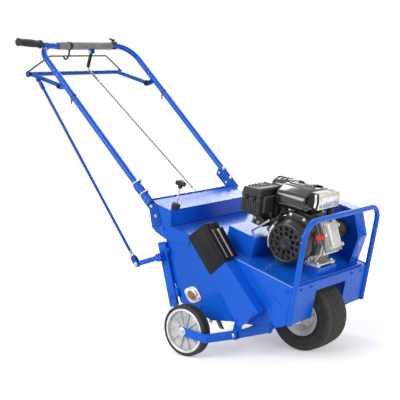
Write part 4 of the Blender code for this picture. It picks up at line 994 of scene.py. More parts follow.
def fuel_tank():
    """The glossy tank: two pressed halves with a rolled seam, mounting straps and a filler neck."""
    outline = [(-110, 206), (58, 206), (66, 250), (60, 290), (-60, 296), (-112, 268), (-118, 240)]
    inner = rounded([(-98, 216), (48, 216), (54, 250), (48, 280), (-58, 285), (-98, 262),
                     (-104, 240)], 14, 6)
    lobe = [(-34, 216), (56, 216), (60, 262), (50, 292), (-8, 297), (-30, 280)]
    ridge = [(-24, 274), (44, 272), (48, 287), (40, 296), (-2, 301), (-22, 290)]
    strap = [(-104, 284), (16, 284), (12, 299.5), (-100, 299.5)]
    neck = [(16, 288), (23, 288), (21.5, 294), (20, 302), (16, 302)]
    piece("fuel_tank_pressed", "tank_black", [
        plate(ENGINE_FRONT, rounded(outline, 20, 8), -114, 26, 11, 7),
        [plate(ENGINE_FRONT, inner, x, x + 3, 1.3) for x in (-116, 25)],
        plate(engine, rounded(box(-117, 29, -119, 66), 16, 8), 224, 226.4, 1),
        [plate(ENGINE_SIDE, rounded(strap, 6, 5), y - 5, y + 5, 3, 4) for y in (-44, 26)],
        plate(ENGINE_FRONT, rounded(lobe, 16, 6), -194, -112, 9, 5),
        [plate(ENGINE_FRONT, rounded(ridge, 8, 5), x - 4, x + 4, 2.6, 4)
         for x in (-180, -160, -140)],
        turned(engine(*CAP_AT, 0), RISE, neck, 40),
    ], "fuel_tank")
    piece("tank_lugs", "black_metal", [
        [hex_head(engine(x, y, 202), RISE, 5, 3),
         block(engine, (x - 9, x + 9), (y - 9, y + 9), (198.5, 207.5))]
        for x in (-88, 4) for y in (-92, 38)])


def fuel_cap():
    """The bright filler cap with a knurled skirt and a domed top."""
    count = 72
    outline = []
    for k in range(count):
        reach = 25 if k % 4 < 2 else 23.6
        turn = 2 * pi * k / count
        outline.append((CAP_AT[0] + reach * cos(turn), CAP_AT[1] + reach * sin(turn)))
    dome = [(0, 312), (24, 312), (23, 315), (19, 317), (10, 318), (0, 318)]
    piece("fuel_cap_knurled", "silver_steel", [plate(engine, outline, 302.3, 313, 0.3),
                                               turned(engine(*CAP_AT, 0), RISE, dome)],
          "fuel_cap", rides="fuel_cap")


def air_cleaner():
    """The air cleaner: a base, a ribbed cover with a parting line, clips and a wing screw."""
    base = [(-222, 166), (-134, 166), (-134, 232), (-221, 230)]
    lid = [(-224, 233), (-132, 235), (-133, 276), (-216, 272)]
    seam = [(-221, 229), (-135, 231), (-135, 236), (-221, 234)]
    piece("air_cleaner_case", "cleaner_black", [
        plate(ENGINE_SIDE, rounded(base, 10, 6), -184, -42, 4, 4),
        plate(ENGINE_SIDE, rounded(lid, 11, 6), -186, -40, 5, 4),
        plate(ENGINE_SIDE, seam, -182.5, -43.5),
        [block(engine, (-212 + 11.5 * k, -208 + 11.5 * k), (-186.6, -178), (176, 224), 1.2)
         for k in range(7)],
        [block(engine, (-206, -146), (y, y + 5), (270, 277.2), 1.4) for y in range(-170, -64, 21)],
        plate(ENGINE_SIDE, rounded(box(-160, -119, 176, 244), 8, 5), -168, -50, 4, 3),
        plate(ENGINE_SIDE, rounded(box(-147, -120, 150, 190), 5, 4), -110, -60, 2),
    ], "air_cleaner", slot="black_plastic")
    knob = [(0, 0), (9, 0), (10, 2), (9, 4), (4, 5), (0, 5)]
    piece("cleaner_clips", "black_metal", [
        turned(engine(-176, -112, 274), RISE, knob, 28),
        [block(engine, (x - 6, x + 6), (-189, -184), (222, 244)) for x in (-196, -160)]])


def carburettor():
    """Body, bowl, levers, spring, screws and fuel line, and the moulded control box."""
    bowl = [(0, 74), (6, 74), (7, 76), (13, 77), (17, 81), (17, 92), (18.5, 92.5), (18.5, 95),
            (17, 98), (0, 98)]
    piece("carburettor_body", "cast_aluminium", [
        plate(ENGINE_SIDE, rounded(box(-138, -76.4, 96, 149.4), 5, 4), -87, -41, 2.5),
        turned(engine(-99, -64, 0), RISE, bowl, 36),
        rod(engine(-106, -86, 120), -LEFT, 21, 0, 5, 32),
    ], "carburettor")
    case = [(-190, 122), (-134, 116), (-134, 149.6), (-148.4, 149.6), (-148.4, 162), (-190, 162)]
    panel = [(-186, 128), (-140, 123), (-140, 146), (-186, 156)]
    piece("control_case", "black_plastic", [
        plate(ENGINE_SIDE, rounded(case, 4, 4), -137, -53, 3, 3),
        plate(ENGINE_SIDE, rounded(panel, 4, 4), -136, -138.4, 0.8)])
    piece("carburettor_levers", "zinc_steel", [
        [turned(engine(x, 0, z), -LEFT,
                [(0, 136), (r, 136), (r, 143), (r * 0.8, 144.6), (0, 144.6)], 24)
         for x, z, r in ((-178, 146, 8.4), (-158, 132, 7.4), (-186, 128, 5))],
        [hex_head(engine(x, -87, z), -LEFT, 3.6, 3) for z in (104, 143) for x in (-130, -84)],
        rod(engine(-108, 0, 124), -LEFT, 4.2, 84, 106, 16),
        tube(helix(engine(-84, -95, 158), engine(-130, -95, 148), RISE, LEFT, 3.2, 10, 120), 0.7,
             count=6),
        tube([engine(-84, -96, 160), engine(-60, -118, 178), engine(-40, -110, 190)], 1.6, 12, 6,
             10)])
    pivot = (-188, 86)
    piece("governor_lever", "worn_steel", [
        plate(ENGINE_SIDE, arc((-109, 150), 4.6, -45, 135, 8) + arc(pivot, 3.8, 135, 315, 8), -139,
              -141),
        plate(ENGINE_SIDE, arc(pivot, 4.4, -90, 90, 6) + arc((-200, 92), 3.2, 90, 270, 6), -141,
              -143, 0.5),
    ], slot="pale_metal")
    upper = [(-118, 148), (-63, 148), (-63, 205.5), (-112, 205.5)]
    lower = [(-116, 148), (-66, 148), (-70, 172), (-110, 168)]
    piece("governor_plate", "black_metal", [
        plate(ENGINE_SIDE, arc(pivot, 3.2, 100, 280, 8) + arc((-94, 80), 3.2, 280, 460, 8), -143.2,
              -146, 0.5),
        plate(ENGINE_SIDE, rounded(upper, 6, 4), -84, -79, 1),
        plate(ENGINE_SIDE, rounded(lower, 6, 4), -98, -92, 1)])
    hose("fuel_hose", "black_rubber", 3.6, 18, 14, (-70, -104, 206), (-74, -122, 180),
         (-122, -128, 112), (-116, -92, 92), (-110, -80, 90))


def hose(name, finish_name, radius, bend, count, *points):
    """A hose or lead through points of the engine."""
    piece(name, finish_name, [tube([engine(*point) for point in points], radius, bend, 8, count)])


def muffler():
    """The muffler: a black can whose front is a bright pressed shield with a gilded rim, and a
    silver stripe painted as a highlight on its side.
    """
    can = [(37, 237), (84, 237), (88, 265), (82, 295), (41, 297), (35, 265)]
    piece("muffler_can", "black_metal", [
        plate(ENGINE_SIDE, rounded(can, 10, 6), -115, 27, 5, 5),
        rod(engine(67, 10, 0), RISE, 12, 162.6, 240, 28),
        rod(engine(67, 10, 0), RISE, 20, 162.6, 168, 28),
    ], "muffler", slot="silver_steel")
    skin_line = [(82, 235.6), (90, 235.6), (92.4, 265), (88, 294), (84, 298), (82, 295), (85, 291),
                 (88, 265), (84, 238)]
    # Painted highlight: a silver stripe on the can's side stands in for a reflection on the black
    # can.
    highlight_stripe = [(66, 240), (76, 240), (79, 265), (75, 292), (65, 292), (68, 265)]
    piece("muffler_front", "muffler_silver", [
        plate(ENGINE_SIDE, rounded(skin_line, 2, 3), -116.4, 28.4, 1.2),
        plate(ENGINE_FRONT, rounded(box(-104, 16, 246, 284), 9, 6), 88, 94.3, 3.2, 5),
        plate(ENGINE_SIDE, rounded(highlight_stripe, 3, 3), -114.6, -116.6, 0.5),
    ], slot="silver_steel")

    def bulging(p, q, t):
        """Places drawings of y and z on the bulging front."""
        return engine(90.2 + t - 0.0026 * (q - 262) ** 2, p, q)

    piece("muffler_rim", "dull_gold", [
        plate(bulging, rounded(box(-110, 22, 239, 291), 11, 6), 0, 2.6, 0.8,
              holes=[rounded(box(-106, 18, 243, 287), 9, 6)])], slot="silver_steel")
    piece("muffler_bolts", "zinc_steel", [
        hex_head(bulging(y, z, 0.4), FORTH, 3.6, 3)
        for y, z in ((-111, 243), (23, 243), (-110, 288), (22, 288))])


def plug_cap():
    """The red boot on the spark plug, its lead to the blower housing and the breather hose."""
    x, z = lean(86, 10)
    boot = [(0, 70), (9.5, 70), (11.5, 73), (11.5, 84), (10.2, 87), (11.5, 90), (11.5, 104),
            (8, 112), (0, 114)]
    piece("plug_boot", "red_rubber", [
        turned(engine(x, 0, z), -LEFT, boot, 28),
        tube([engine(x, -96, z), engine(x - 4, -100, z - 20)], 6.4, count=18),
    ], "plug_cap", slot="black_rubber")
    plug = [(0, 46.6), (9, 46.6), (9, 52), (6, 53), (6, 58), (5.4, 59), (5.4, 70.4), (0, 70.4)]
    piece("spark_plug", "zinc_steel", [turned(engine(x, 0, z), -LEFT, plug, 24)])
    hose("plug_lead", "black_rubber", 3.3, 12, 14, (x - 2, -98, z - 12), (x - 6, -104, z - 34),
         (x - 2, -110, z - 56), (80, -112, 62), (72, -112, 62))
    hose("breather_hose", "grey_plastic", 4.2, 16, 16, (96, -60, 88), (102, -78, 60), (88, -84, 30),
         (66, -70, 20))


# Sheet metal

SIDE_OUT = 275
DRUM_AT = body(10, 0, -221.7)
JACK_AT = body(118, 0, -32)
CRANK_AT = body(-172, 0, -131)
CASE = [(-41, 18), (22, 101), (158, -3), (102, -84)]


def sheet_bolts():
    """Bolt heads on the body's sheets."""
    shapes = []
    for s in BOTH:
        for out, radius, height, spots in (
                (275.1, 5, 4, ((-62, -240), (-174, -96), (212, -228))),
                (280.9, 5, 4, ((240, -268),)),
                (275.1, 5, 4, ((416, -22), (60, -256))),
                (291.2, 6, 4.6, ((-176, -110), (-83, -271))),
                (278.8, 4.6, 3.6, ((-252, 20), (-205, -20)))):
            shapes += [hex_head(body(u, s * out, w), LEFT * s, radius, height) for u, w in spots]
    deck = ((424, -236), (424, 180), (-140, -250), (-140, 250), (20, 120), (20, -120))
    right_guard = ((330, -143), (268, -203))
    left_guard = ((60, 20), (380, 20), (340, 200), (200, 196))
    piece("sheet_bolts", "blue_paint", [
        shapes,
        [hex_head(body(u, y, 0.1), UP, 5, 4) for u, y in deck],
        [hex_head(body(443.6, y, -16), ALONG, 5, 4) for y in (-220, -150, 150, 220)],
        [hex_head(body(u, -SIDE_OUT - 55.4, w), -LEFT, 4.6, 3.4) for u, w in right_guard],
        [hex_head(body(u, 262.2, w), LEFT, 4.6, 3.4) for u, w in left_guard]])


def sheet_seams():
    """Weld beads where the hood, deck and side plates meet, folded lips along the deck, and pale
    lines painted as highlights along the side plates' top edges and the hood's edges.
    """
    nose_lip = [(430, 0.2), (434, 0.2), (434, 7), (431, 7)]
    hood_lip = [(-317, 57.5), (-313.5, 61), (-309, 61.2), (-309, 64), (-318, 62.5)]
    lips = []
    seams = []
    for s in BOTH:
        seams += [weld_bead([body(u, s * y, w) for u, w in line], radius) for y, radius, line in (
            (271.5, 1.8, ((-168, 1), (-70, 1))),
            (276.5, 2, ((-160, -66), (-110, -56))),
            (276, 1.8, ((-70, -39), (-100, -43))))]
        edge = s * (SIDE_OUT - 0.4)
        # Painted highlights: pale lines along the side plates' top edges and the hood's edges.
        lips.append(tube([body(168 if s < 0 else -60, edge, 1.2), body(440, edge, 1.2)], 1.7,
                         count=12))
        lips.append(tube([body(-186, s * 277.6, -60), body(-312, s * 277.6, 58)], 1.2, count=10))
    piece("sheet_seams", "blue_paint", [seams, plate(BODY_SIDE, nose_lip, -236, 236, 0.8),
                                        plate(BODY_SIDE, hood_lip, -270, 270, 0.8)])
    piece("edge_highlight_lines", "lip_highlight", lips, slot="blue_paint")


def ribbed_box():
    """The moulded case on the chain guard: long ridges on its sloping top, and pale strips painted
    as highlights along them.
    """
    low = -SIDE_OUT - 0.3
    high = low - 59
    a, b = Vector(CASE[1]), Vector(CASE[2])
    along = (b - a).normalized()
    out = Vector((-along.y, along.x))

    def strip(start, stop, rise, y, half, soft):
        p, q = a + along * start, b - along * stop
        line = [p - out * 2, p + out * rise, q + out * rise, q - out * 2]
        return plate(BODY_SIDE, line, y - half, y + half, soft)

    panel = [(-22, 20), (24, 80), (140, -8), (98, -68)]
    wing = [(48, 81), (150, 3), (142, 1), (118, 6), (44, 62)]
    piece("ridged_case", "case_black", [
        plate(BODY_SIDE, rounded(CASE, 7, 5), low, high, 3, 3),
        plate(BODY_SIDE, rounded(panel, 6, 4), high + 0.5, high - 1.6, 0.7),
        [strip(30, 10, 6, y, 2.6, 1.4) for y in (-322, -306, -297, -268, -252)],
        plate(BODY_SIDE, rounded(wing, 4, 4), -SIDE_OUT, -248, 2),
        [strip(3, 132, 2.4, y, 3.4, 1.2) for y in (-327, -311, -290, -274, -263)],
    ], "ribbed_box", slot="black_plastic")
    # Painted highlight: two pale metal strips along the sloping top stand in for light on the
    # ridges.
    piece("case_highlight_strips", "pale_metal",
          [strip(34, 14, 5, -314, 1.9, 0.7), strip(34, 14, 5.4, -281, 3.6, 0.9)])


def rear_rails():
    """The folded rails behind the side plates, each with a turned-in front edge and two pads."""
    start = body(-196, 0, -76)
    way = body(-62, 0, -306) - start
    length = way.length / MM
    way.normalize()
    front = way.cross(LEFT)
    spot = CRANK_AT - start
    hole = circle(spot.dot(way) / MM, spot.dot(front) / MM, 11.2, 28)
    fold = rounded(box(19.5, 22, 276.8, 289), 0.8, 2)
    pads = ([(-188, -88), (-150, -88), (-150, -112), (-180, -112)],
            [(-104, -232), (-62, -232), (-50, -258), (-92, -258)])
    for s, word in SIDES:
        place = spanned(start, way, front, LEFT * s)
        across = spanned(start, front, LEFT * s, way)
        piece(f"rail_folded_{word}", "blue_paint", [
            plate(place, rounded(box(0, length, -17, 22), 3, 3), 286, 291, 0.9, holes=[hole]),
            plate(across, fold, 4, length - 4),
            [plate(BODY_SIDE, pad, s * 275.3, s * 287, 1.2) for pad in pads],
        ], f"rear_rail_{word}")


def bearings():
    """Diamond flange bearings: a domed flange, a brown greased race and two bolts."""
    outline = []
    for x, radius, first, last in ((29, 14, -58, 58), (0, 33, 58, 122),
                                   (-29, 14, 122, 238), (0, 33, 238, 302)):
        outline += arc((x, 0), radius, first, last, 10)
    dome = [(15.6, 2), (25, 2), (25, 7), (23.5, 12), (20.5, 14.4), (19, 14.8), (18, 14),
            (15.6, 13.4)]
    race = [(15.4, 11), (19.2, 13), (19.2, 14.2), (16.5, 15.4), (15.4, 15)]
    cap = [(0, 10), (14.8, 10), (14.8, 15.6), (13.4, 16.6), (0, 16.6)]
    for s, word in SIDES:
        way = LEFT * s
        at = DRUM_AT + way * (SIDE_OUT + 0.3) * MM
        piece(f"drum_flange_{word}", "pale_metal", [
            plate(spanned(at, ALONG, UP, way), outline, 0, 5.5, 1.6, 3, [circle(0, 0, 15.6, 28)]),
            turned(at, way, dome)], f"drum_bearing_{word}")
        piece(f"drum_race_{word}", "brown_steel",
              [turned(at, way, race, 40), turned(at, way, cap, 32)],
              rides="tine_drum", slot="raw_steel")
        piece(f"flange_bolts_{word}", "zinc_steel", [
            hex_head(at + ALONG * p * MM + way * 0.0052, way, 6.2, 5) for p in (-30, 30)])


# Tine drum and drive

TINE_SPACING = 98
TINE_STEP = radians(12)


def tine_wheel(index):
    """A star plate with bolted spoon tines: half tubes ground to a slant, worn at the tips."""
    y = (index - 2) * TINE_SPACING
    x0, z0 = DRUM_AT.x / MM - FRAME_SHIFT, DRUM_AT.z / MM
    centre = world(x0, y, z0)
    star, tines, bolts = [], [], []
    for k in range(6):
        turn = index * TINE_STEP + pi * k / 3
        c, s = cos(turn), sin(turn)
        star += [(x0 + reach * c - side * s, z0 + reach * s + side * c) for reach, side in (
            (46, -26.5), (58, -13), (104, -12), (107, -9), (107, 9), (104, 12), (58, 13),
            (46, 26.5))]
        way = Vector((c, 0, s))
        bolts += [hex_head(centre + way * reach - LEFT * 0.0042, -LEFT, 5.5, 4.5)
                  for reach in (0.076, 0.098)]
        tines.append(spoon(centre, way, Vector((-s, 0, c))))
    hub = [(15.4, -22), (26, -22), (27, -21), (27, -6), (29, -4), (29, 4), (27, 6), (27, 21),
           (26, 22), (15.4, 22)]
    number = index + 1
    piece(f"tine_star_{number}", "raw_steel", [
        plate(WORLD_SIDE, star, y - 4, y + 4, 0.9, holes=[circle(x0, z0, 20, 32)]),
        turned(centre, LEFT, hub, 40)], f"tine_wheel_{number}", rides="tine_drum")
    piece(f"tine_spoons_{number}", "worn_steel", tines, rides="tine_drum", slot="raw_steel")
    piece(f"tine_bolts_{number}", "zinc_steel", bolts, rides="tine_drum")


def spoon(centre, way, wide):
    """One tine: a half tube whose open side is cut away towards the tip."""
    steps, rows = 14, 16
    opening = radians(206)
    outer, inner = 10.5, 7.3
    points = []
    for i in range(rows + 1):
        share = i / rows
        for wall in (outer, inner):
            for k in range(steps + 1):
                angle = (-opening / 2 + opening * k / steps) * (1 - 0.18 * share ** 3)
                q = wall * cos(angle)
                length = 92 + 78 * share - (outer - q) * 0.9 * share
                offset = way * length + LEFT * wall * sin(angle) + wide * (q - 3)
                points.append(centre + offset * MM)
    faces = []
    row = 2 * (steps + 1)
    for i in range(rows):
        pairs = [(k, k + 1) for k in range(row - 1) if k != steps]
        pairs += [(0, steps + 1), (steps, row - 1)]
        faces += [(i * row + k, i * row + n, (i + 1) * row + n, (i + 1) * row + k)
                  for k, n in pairs]
    for i in (0, rows * row):
        faces += [(i + k, i + k + 1, i + k + steps + 2, i + k + steps + 1) for k in range(steps)]
    return from_faces(points, faces)


def sprocket(at, radius, teeth, low, high, bore):
    """A sprocket with round-bottomed teeth."""
    outline = []
    for k in range(teeth):
        for share, reach in ((0, -5.6), (0.14, -5.2), (0.3, -2), (0.42, 0), (0.58, 0), (0.7, -2),
                             (0.86, -5.2)):
            turn = 2 * pi * (k + share) / teeth
            outline.append(((radius + reach) * cos(turn), (radius + reach) * sin(turn)))
    return plate(spanned(at, ALONG, UP), outline, low, high, 0.5, holes=[circle(0, 0, bore)])


DRUM_SPROCKET = 66
JACK_SPROCKET = 20
JACK_PULLEY = 68
ENGINE_PULLEY = 34
CHAIN_PITCH = 12.7 * MM


def drive():
    """The shafts, sprockets and pulleys, and the belt."""
    hub = [(14.5, 238), (25, 238), (26, 239), (26, 256), (25, 257), (14.5, 257)]
    shaft = mirrored([(0, -291), (13.6, -291), (14.7, -290)])
    piece("drum_shaft_turned", "raw_steel", [
        turned(DRUM_AT, LEFT, shaft, 32),
        turned(DRUM_AT, LEFT, hub, 36),
        sprocket(DRUM_AT, DRUM_SPROCKET, 18, 249, 255, 14)], "drum_shaft", rides="tine_drum")
    shaft = [(0, -318), (9, -318), (9.9, -317), (9.9, 282), (9, 283), (0, 283)]
    pulley = [(9.8, 210), (26, 210), (26, 216), (60, 218), (JACK_PULLEY, 216),
              (JACK_PULLEY, 218.4), (60, 222.4), (60, 225.6), (JACK_PULLEY, 229.6),
              (JACK_PULLEY, 232), (60, 230), (26, 232), (26, 238), (9.8, 238)]
    piece("jackshaft_turned", "raw_steel", [
        turned(JACK_AT, LEFT, shaft, 28),
        turned(JACK_AT, LEFT, pulley, 56),
        [sprocket(JACK_AT, JACK_SPROCKET, 8, y, y + 6, 9) for y in (249, -312)]],
        "jackshaft", rides="jackshaft")
    shaft = [(0, 98.6), (9.4, 98.6), (9.4, 241), (8.4, 242), (0, 242)]
    pulley = [(9.3, 210), (17, 210), (17, 216), (ENGINE_PULLEY, 216), (ENGINE_PULLEY, 218.4),
              (27, 222.4), (27, 225.6), (ENGINE_PULLEY, 229.6), (ENGINE_PULLEY, 232),
              (17, 232), (17, 238), (9.3, 238)]
    piece("engine_pulley_turned", "raw_steel", [turned(CRANK_LINE, LEFT, shaft, 28),
                                                turned(CRANK_LINE, LEFT, pulley)],
          "engine_pulley", rides="engine_pulley")
    path = loop_path(JACK_AT, JACK_PULLEY + 3.9, CRANK_LINE, ENGINE_PULLEY + 3.9)
    section = [(-6.5, 2.4), (6.5, 2.4), (5, -2.4), (-5, -2.4)]
    piece("drive_belt_moulded", "black_rubber", [band(path, section, 224)], "drive_belt")


def roller_chain():
    """The chain: rollers and side plates, carried round its loop."""
    path = loop_path(DRUM_AT, DRUM_SPROCKET + 3.4, JACK_AT, JACK_SPROCKET + 3.4)
    gaps = [(b - a).length for a, b in zip(path, path[1:] + path[:1])]
    total = sum(gaps)
    count = 2 * round(total / CHAIN_PITCH / 2)
    spots = [walk(path, gaps, total * k / count) for k in range(count)]
    links = []
    for k, spot in enumerate(spots):
        way = spots[(k + 1) % count] - spot
        place = spanned(spot, way.normalized(), way.normalized().cross(LEFT))
        outline = arc((way.length / MM, 0), 4.6, -90, 90, 5) + arc((0, 0), 4.6, 90, 270, 5)
        near = 1.1 if k % 2 else 0
        links.append(rod(spot, LEFT, 3.6, 247.5, 256.5, 10))
        links += [plate(place, outline, y, y + 0.9, 0) for y in (247.2 - near, 256 + near)]
    piece("roller_chain", "raw_steel", links, "drum_chain")


def loop_path(a, ra, b, rb):
    """Points of a closed loop round two wheels whose axes run along y."""
    line = b - a
    base = atan2(line.dot(UP), line.dot(ALONG))
    lap = acos((ra - rb) * MM / line.length)
    points = []
    for centre, radius, first, turn, count in ((a, ra, base + lap, 2 * pi - 2 * lap, 40),
                                               (b, rb, base - lap, 2 * lap, 24)):
        for k in range(count + 1):
            angle = first + turn * k / count
            points.append(centre + (ALONG * cos(angle) + UP * sin(angle)) * radius * MM)
    return points


def walk(path, gaps, reach):
    """The point this far along a closed path."""
    for point, gap, after in zip(path, gaps, path[1:] + path[:1]):
        if reach <= gap:
            return point.lerp(after, reach / gap)
        reach -= gap
    return path[0]


def band(path, section, y):
    """A closed belt: section holds (across, out) points that are carried round the path."""
    points = []
    for i, point in enumerate(path):
        out = (path[(i + 1) % len(path)] - path[i - 1]).normalized().cross(LEFT)
        points += [point + (out * q + LEFT * (y + p)) * MM for p, q in section]
    return from_faces(points, skin(len(section), len(path), True))


# Lift linkage

YOKE_AT = body(248.2, 0, -285)
CRANK_END = world(-322, 0, 309)
CRANK_LOW = world(-239.9, 0, 248.9)
YOKE_LEVER = world(122, 0, 212.3)
ROD_Y = -309


def lift_bail():
    """The bail: a smooth cross tube on two arms with turned eyes and the push rod's pin."""
    half = 300
    (bx, bz), (px, pz), (rx, rz) = BAIL_BAR, BAIL_PIVOT, BAIL_ROD
    cross = mirrored([(0, -half), (8.4, -half), (9.5, 1.2 - half)])
    eye = [(5.7, -9), (13.2, -9), (14, -8.2), (14, 8.2), (13.2, 9), (5.7, 9)]
    shapes = [turned(world(bx, 0, bz), LEFT, cross, 28)]
    for s in BOTH:
        y = s * BAIL_ARM_Y
        start, pivot = world(bx, y, bz), world(px, y, pz)
        shapes += [tube([start, pivot + (start - pivot).normalized() * 0.0085], 9.5, count=28),
                   turned(pivot, LEFT, eye, 32),
                   weld_bead([world(bx + 9, y + 9 * k, bz - 3) for k in (-1, 1)], 1.6)]
    shapes.append(rod(world(rx, 0, rz), LEFT, 5, -285, -317, 20))
    piece("lift_bail_tube", "dark_blue", shapes, "lift_bail", rides="lift_bail", slot="blue_paint")
    nut = hex_head(world(rx, -313.4, rz), -LEFT, 7.6, 4.2)
    piece("bail_nut", "dark_blue", nut, rides="lift_bail")


def latch_bail():
    """The thin wire latch with coiled eyes round the bail's ends."""
    bx, bz = BAIL_BAR
    path = [world(bx + 2, -294, bz + 12), world(-950, -180, 1152), world(-950, 180, 1152),
            world(bx + 2, 294, bz + 12)]
    shapes = [tube(path, 3.3, 18, 10, 16)]
    for s in BOTH:
        wound = helix(world(bx, s * 290.6, bz), world(bx, s * 297.8, bz), UPRIGHT, -AHEAD, 11.6,
                      1.5, 40)
        shapes += [tube(wound, 1.9, count=10),
                   collar(world(bx, s * 294.3, bz), LEFT, 9.95, 13.2, -3.4, 3.4)]
    piece("latch_wire", "black_metal", shapes, "latch_bail", rides="latch_bail")


def push_rod():
    """The push rod: eye, threaded end, lock nut and a forked clevis."""
    top = world(BAIL_ROD[0], ROD_Y, BAIL_ROD[1])
    low = CRANK_END + LEFT * ROD_Y * MM
    way = (low - top).normalized()
    sleeve = [(6, 14), (8, 14), (8.8, 16), (8.8, 48), (8, 50), (6, 50)]
    eye = [(5.7, -4), (11.4, -4), (12, -3.4), (12, 3.4), (11.4, 4), (5.7, 4)]
    cheek = [(-36, -9), (-33, -12), (4, -12)] + arc((2, 0), 11.5, -80, 80, 10)
    cheek += [(4, 12), (-33, 12), (-36, 9)]
    root = [(-37, -9), (-25.5, -12), (-25.5, 12), (-37, 9)]
    place = spanned(low, way, way.cross(LEFT))
    piece("push_rod_forked", "dark_blue", [
        tube([top + way * 0.009, low - way * 0.03], 6.3, count=24),
        turned(top, way, sleeve, 28),
        turned(top, LEFT, eye, 32),
        [plate(place, cheek, *span, 0.8) for span in ((-8.5, -4.8), (4.8, 8.5))],
        plate(place, root, -8.3, 8.3, 1),
    ], "push_rod", rides="push_rod", slot="blue_paint")
    nut = [(6.2, 0), (9.6, 0), (9.6, 8), (8.6, 9), (6.2, 9)]
    piece("push_rod_nuts", "zinc_steel", [
        turned(low - way * 0.047, way, nut, 6),
        bolt_end(low - way * 0.062, way, 6.9, 16),
        [hex_head(low + LEFT * s * 0.0085, LEFT * s, 6.4, 3.6) for s in BOTH]], rides="push_rod")


def lift_crank():
    """The lift shaft, its crank arm with a flattened tongue and the short arm on the left."""
    shaft = [(0, -320), (16, -320), (17, -319), (17, -293), (16, -292), (10, -292), (10, 298),
             (0, 298)]
    way = (CRANK_END - CRANK_AT).normalized()
    aside = LEFT * ROD_Y * MM
    weld = ring_of(CRANK_AT + way * 0.0165 + aside, way.cross(LEFT), LEFT, 11.2, 12)
    piece("lift_crank_bent", "blue_paint", [
        turned(CRANK_AT, LEFT, shaft, 32),
        tube([CRANK_AT + way * 0.006 + aside, CRANK_END - way * 0.02 + aside], 10.9, count=28),
        bar(CRANK_END - way * 0.034, CRANK_END, 8.8, -313, -305, soft=0.8),
        bar(CRANK_AT, CRANK_LOW, 15, 292, 300),
        rod(CRANK_LOW, LEFT, 6, 296, 310.5),
        weld_bead(weld + weld[:1], 1.8),
    ], "lift_crank", rides="lift_crank")


def lift_link():
    """The flat link on the left, its front bolt and its rear nut."""
    holes = [circle(-239.9, 248.9, 6.4)]
    piece("lift_link_bar", "dark_blue", [bar(CRANK_LOW, YOKE_LEVER, 11, 301, 308, holes, 0.8)],
          "lift_link", rides="lift_link")
    piece("link_bolt", "zinc_steel", hex_head(YOKE_LEVER + LEFT * 0.3068, LEFT, 8.2, 5.6),
          rides="lift_link")
    piece("crank_pin_nut", "zinc_steel", hex_head(CRANK_LOW + LEFT * 0.3084, LEFT, 8, 3.6),
          rides="lift_crank")


def thick_line(line, half):
    """The outline of a bent strip with mitred corners."""
    sides = []
    last = len(line) - 1
    for shift in (half, -half):
        side = []
        for i, (p, q) in enumerate(line):
            ahead = Vector(line[min(i + 1, last)]) - Vector(line[max(i - 1, 0)])
            a = (Vector((p, q)) - Vector(line[i - 1])).normalized() if i else ahead.normalized()
            b = (Vector(line[i + 1]) - Vector((p, q))).normalized() if i < last else a
            normal = Vector((-(a.y + b.y), a.x + b.x)).normalized()
            reach = shift / max(0.3, normal.dot(Vector((-a.y, a.x))))
            side.append((p + normal.x * reach, q + normal.y * reach))
        sides.append(side)
    return sides[0] + sides[1][::-1]


def wheel_yoke():
    """The cross shaft, bent strap arms with rounded edges and the lever; axle bolts."""
    x, z = YOKE_AT.x / MM - FRAME_SHIFT, YOKE_AT.z / MM
    rise = (REAR_RADIUS - z) / x
    strap = rounded(thick_line([(x + 13, 290), (x - 4, 290), (113, 409), (-16, 409)], 4), 5, 4)
    axle = [(0, 345), (12, 345), (12, 353), (8, 355), (8, 423.4), (7, 423.4), (0, 423.4)]
    shapes = [turned(YOKE_AT, LEFT, mirrored([(0, -297), (10, -297), (11, -296)]), 32),
              bar(YOKE_AT, YOKE_LEVER, 13, 292, 300)]
    steel = []
    for s in BOTH:
        shapes.append(plate(lambda p, q, t: world(p, s * q, z + (x - p) * rise + t), strap, -17, 17,
                            1.6, 3))
        steel += [turned(REAR_AXLE, LEFT, [(r, s * y) for r, y in axle], 28),
                  hex_head(REAR_AXLE + LEFT * s * 0.4132, LEFT * s, 12.4, 7.6),
                  hex_head(YOKE_AT + LEFT * s * 0.2968, LEFT * s, 8.6, 2.6, False)]
    piece("yoke_frame", "blue_paint", shapes, "wheel_yoke", rides="wheel_yoke")
    piece("yoke_bolts", "zinc_steel", steel, rides="wheel_yoke")


# Handle parts

def leg_brackets():
    """The plates that hold the handle's legs, with their weld beads and bolts."""
    outline = rounded([(-366, 622), (-352, 651), (-334, 650), (-240, 562), (-218, 500), (-214, 484),
                       (-232, 470), (-252, 474), (-275, 534)], 8, 4)
    for s, word in SIDES:
        foot, _, way = leg(s)
        across = way.cross(LEFT)
        beads = [weld_bead([foot + way * reach + across * side * 0.0122 - LEFT * s * 0.0104
                            for reach in (0.03, 0.08)], 1.6) for side in BOTH]
        piece(f"leg_bracket_{word}", "dark_blue",
              [plate(WORLD_SIDE, outline, s * 278.9, s * 282.2, 0.9), beads],
              f"handle_bracket_{word}")
        piece(f"bracket_bolts_{word}", "zinc_steel", [
            hex_head(world(x, s * 282, z), LEFT * s, 4.8, 3.8)
            for x, z in ((-242, 514), (-266, 552))])


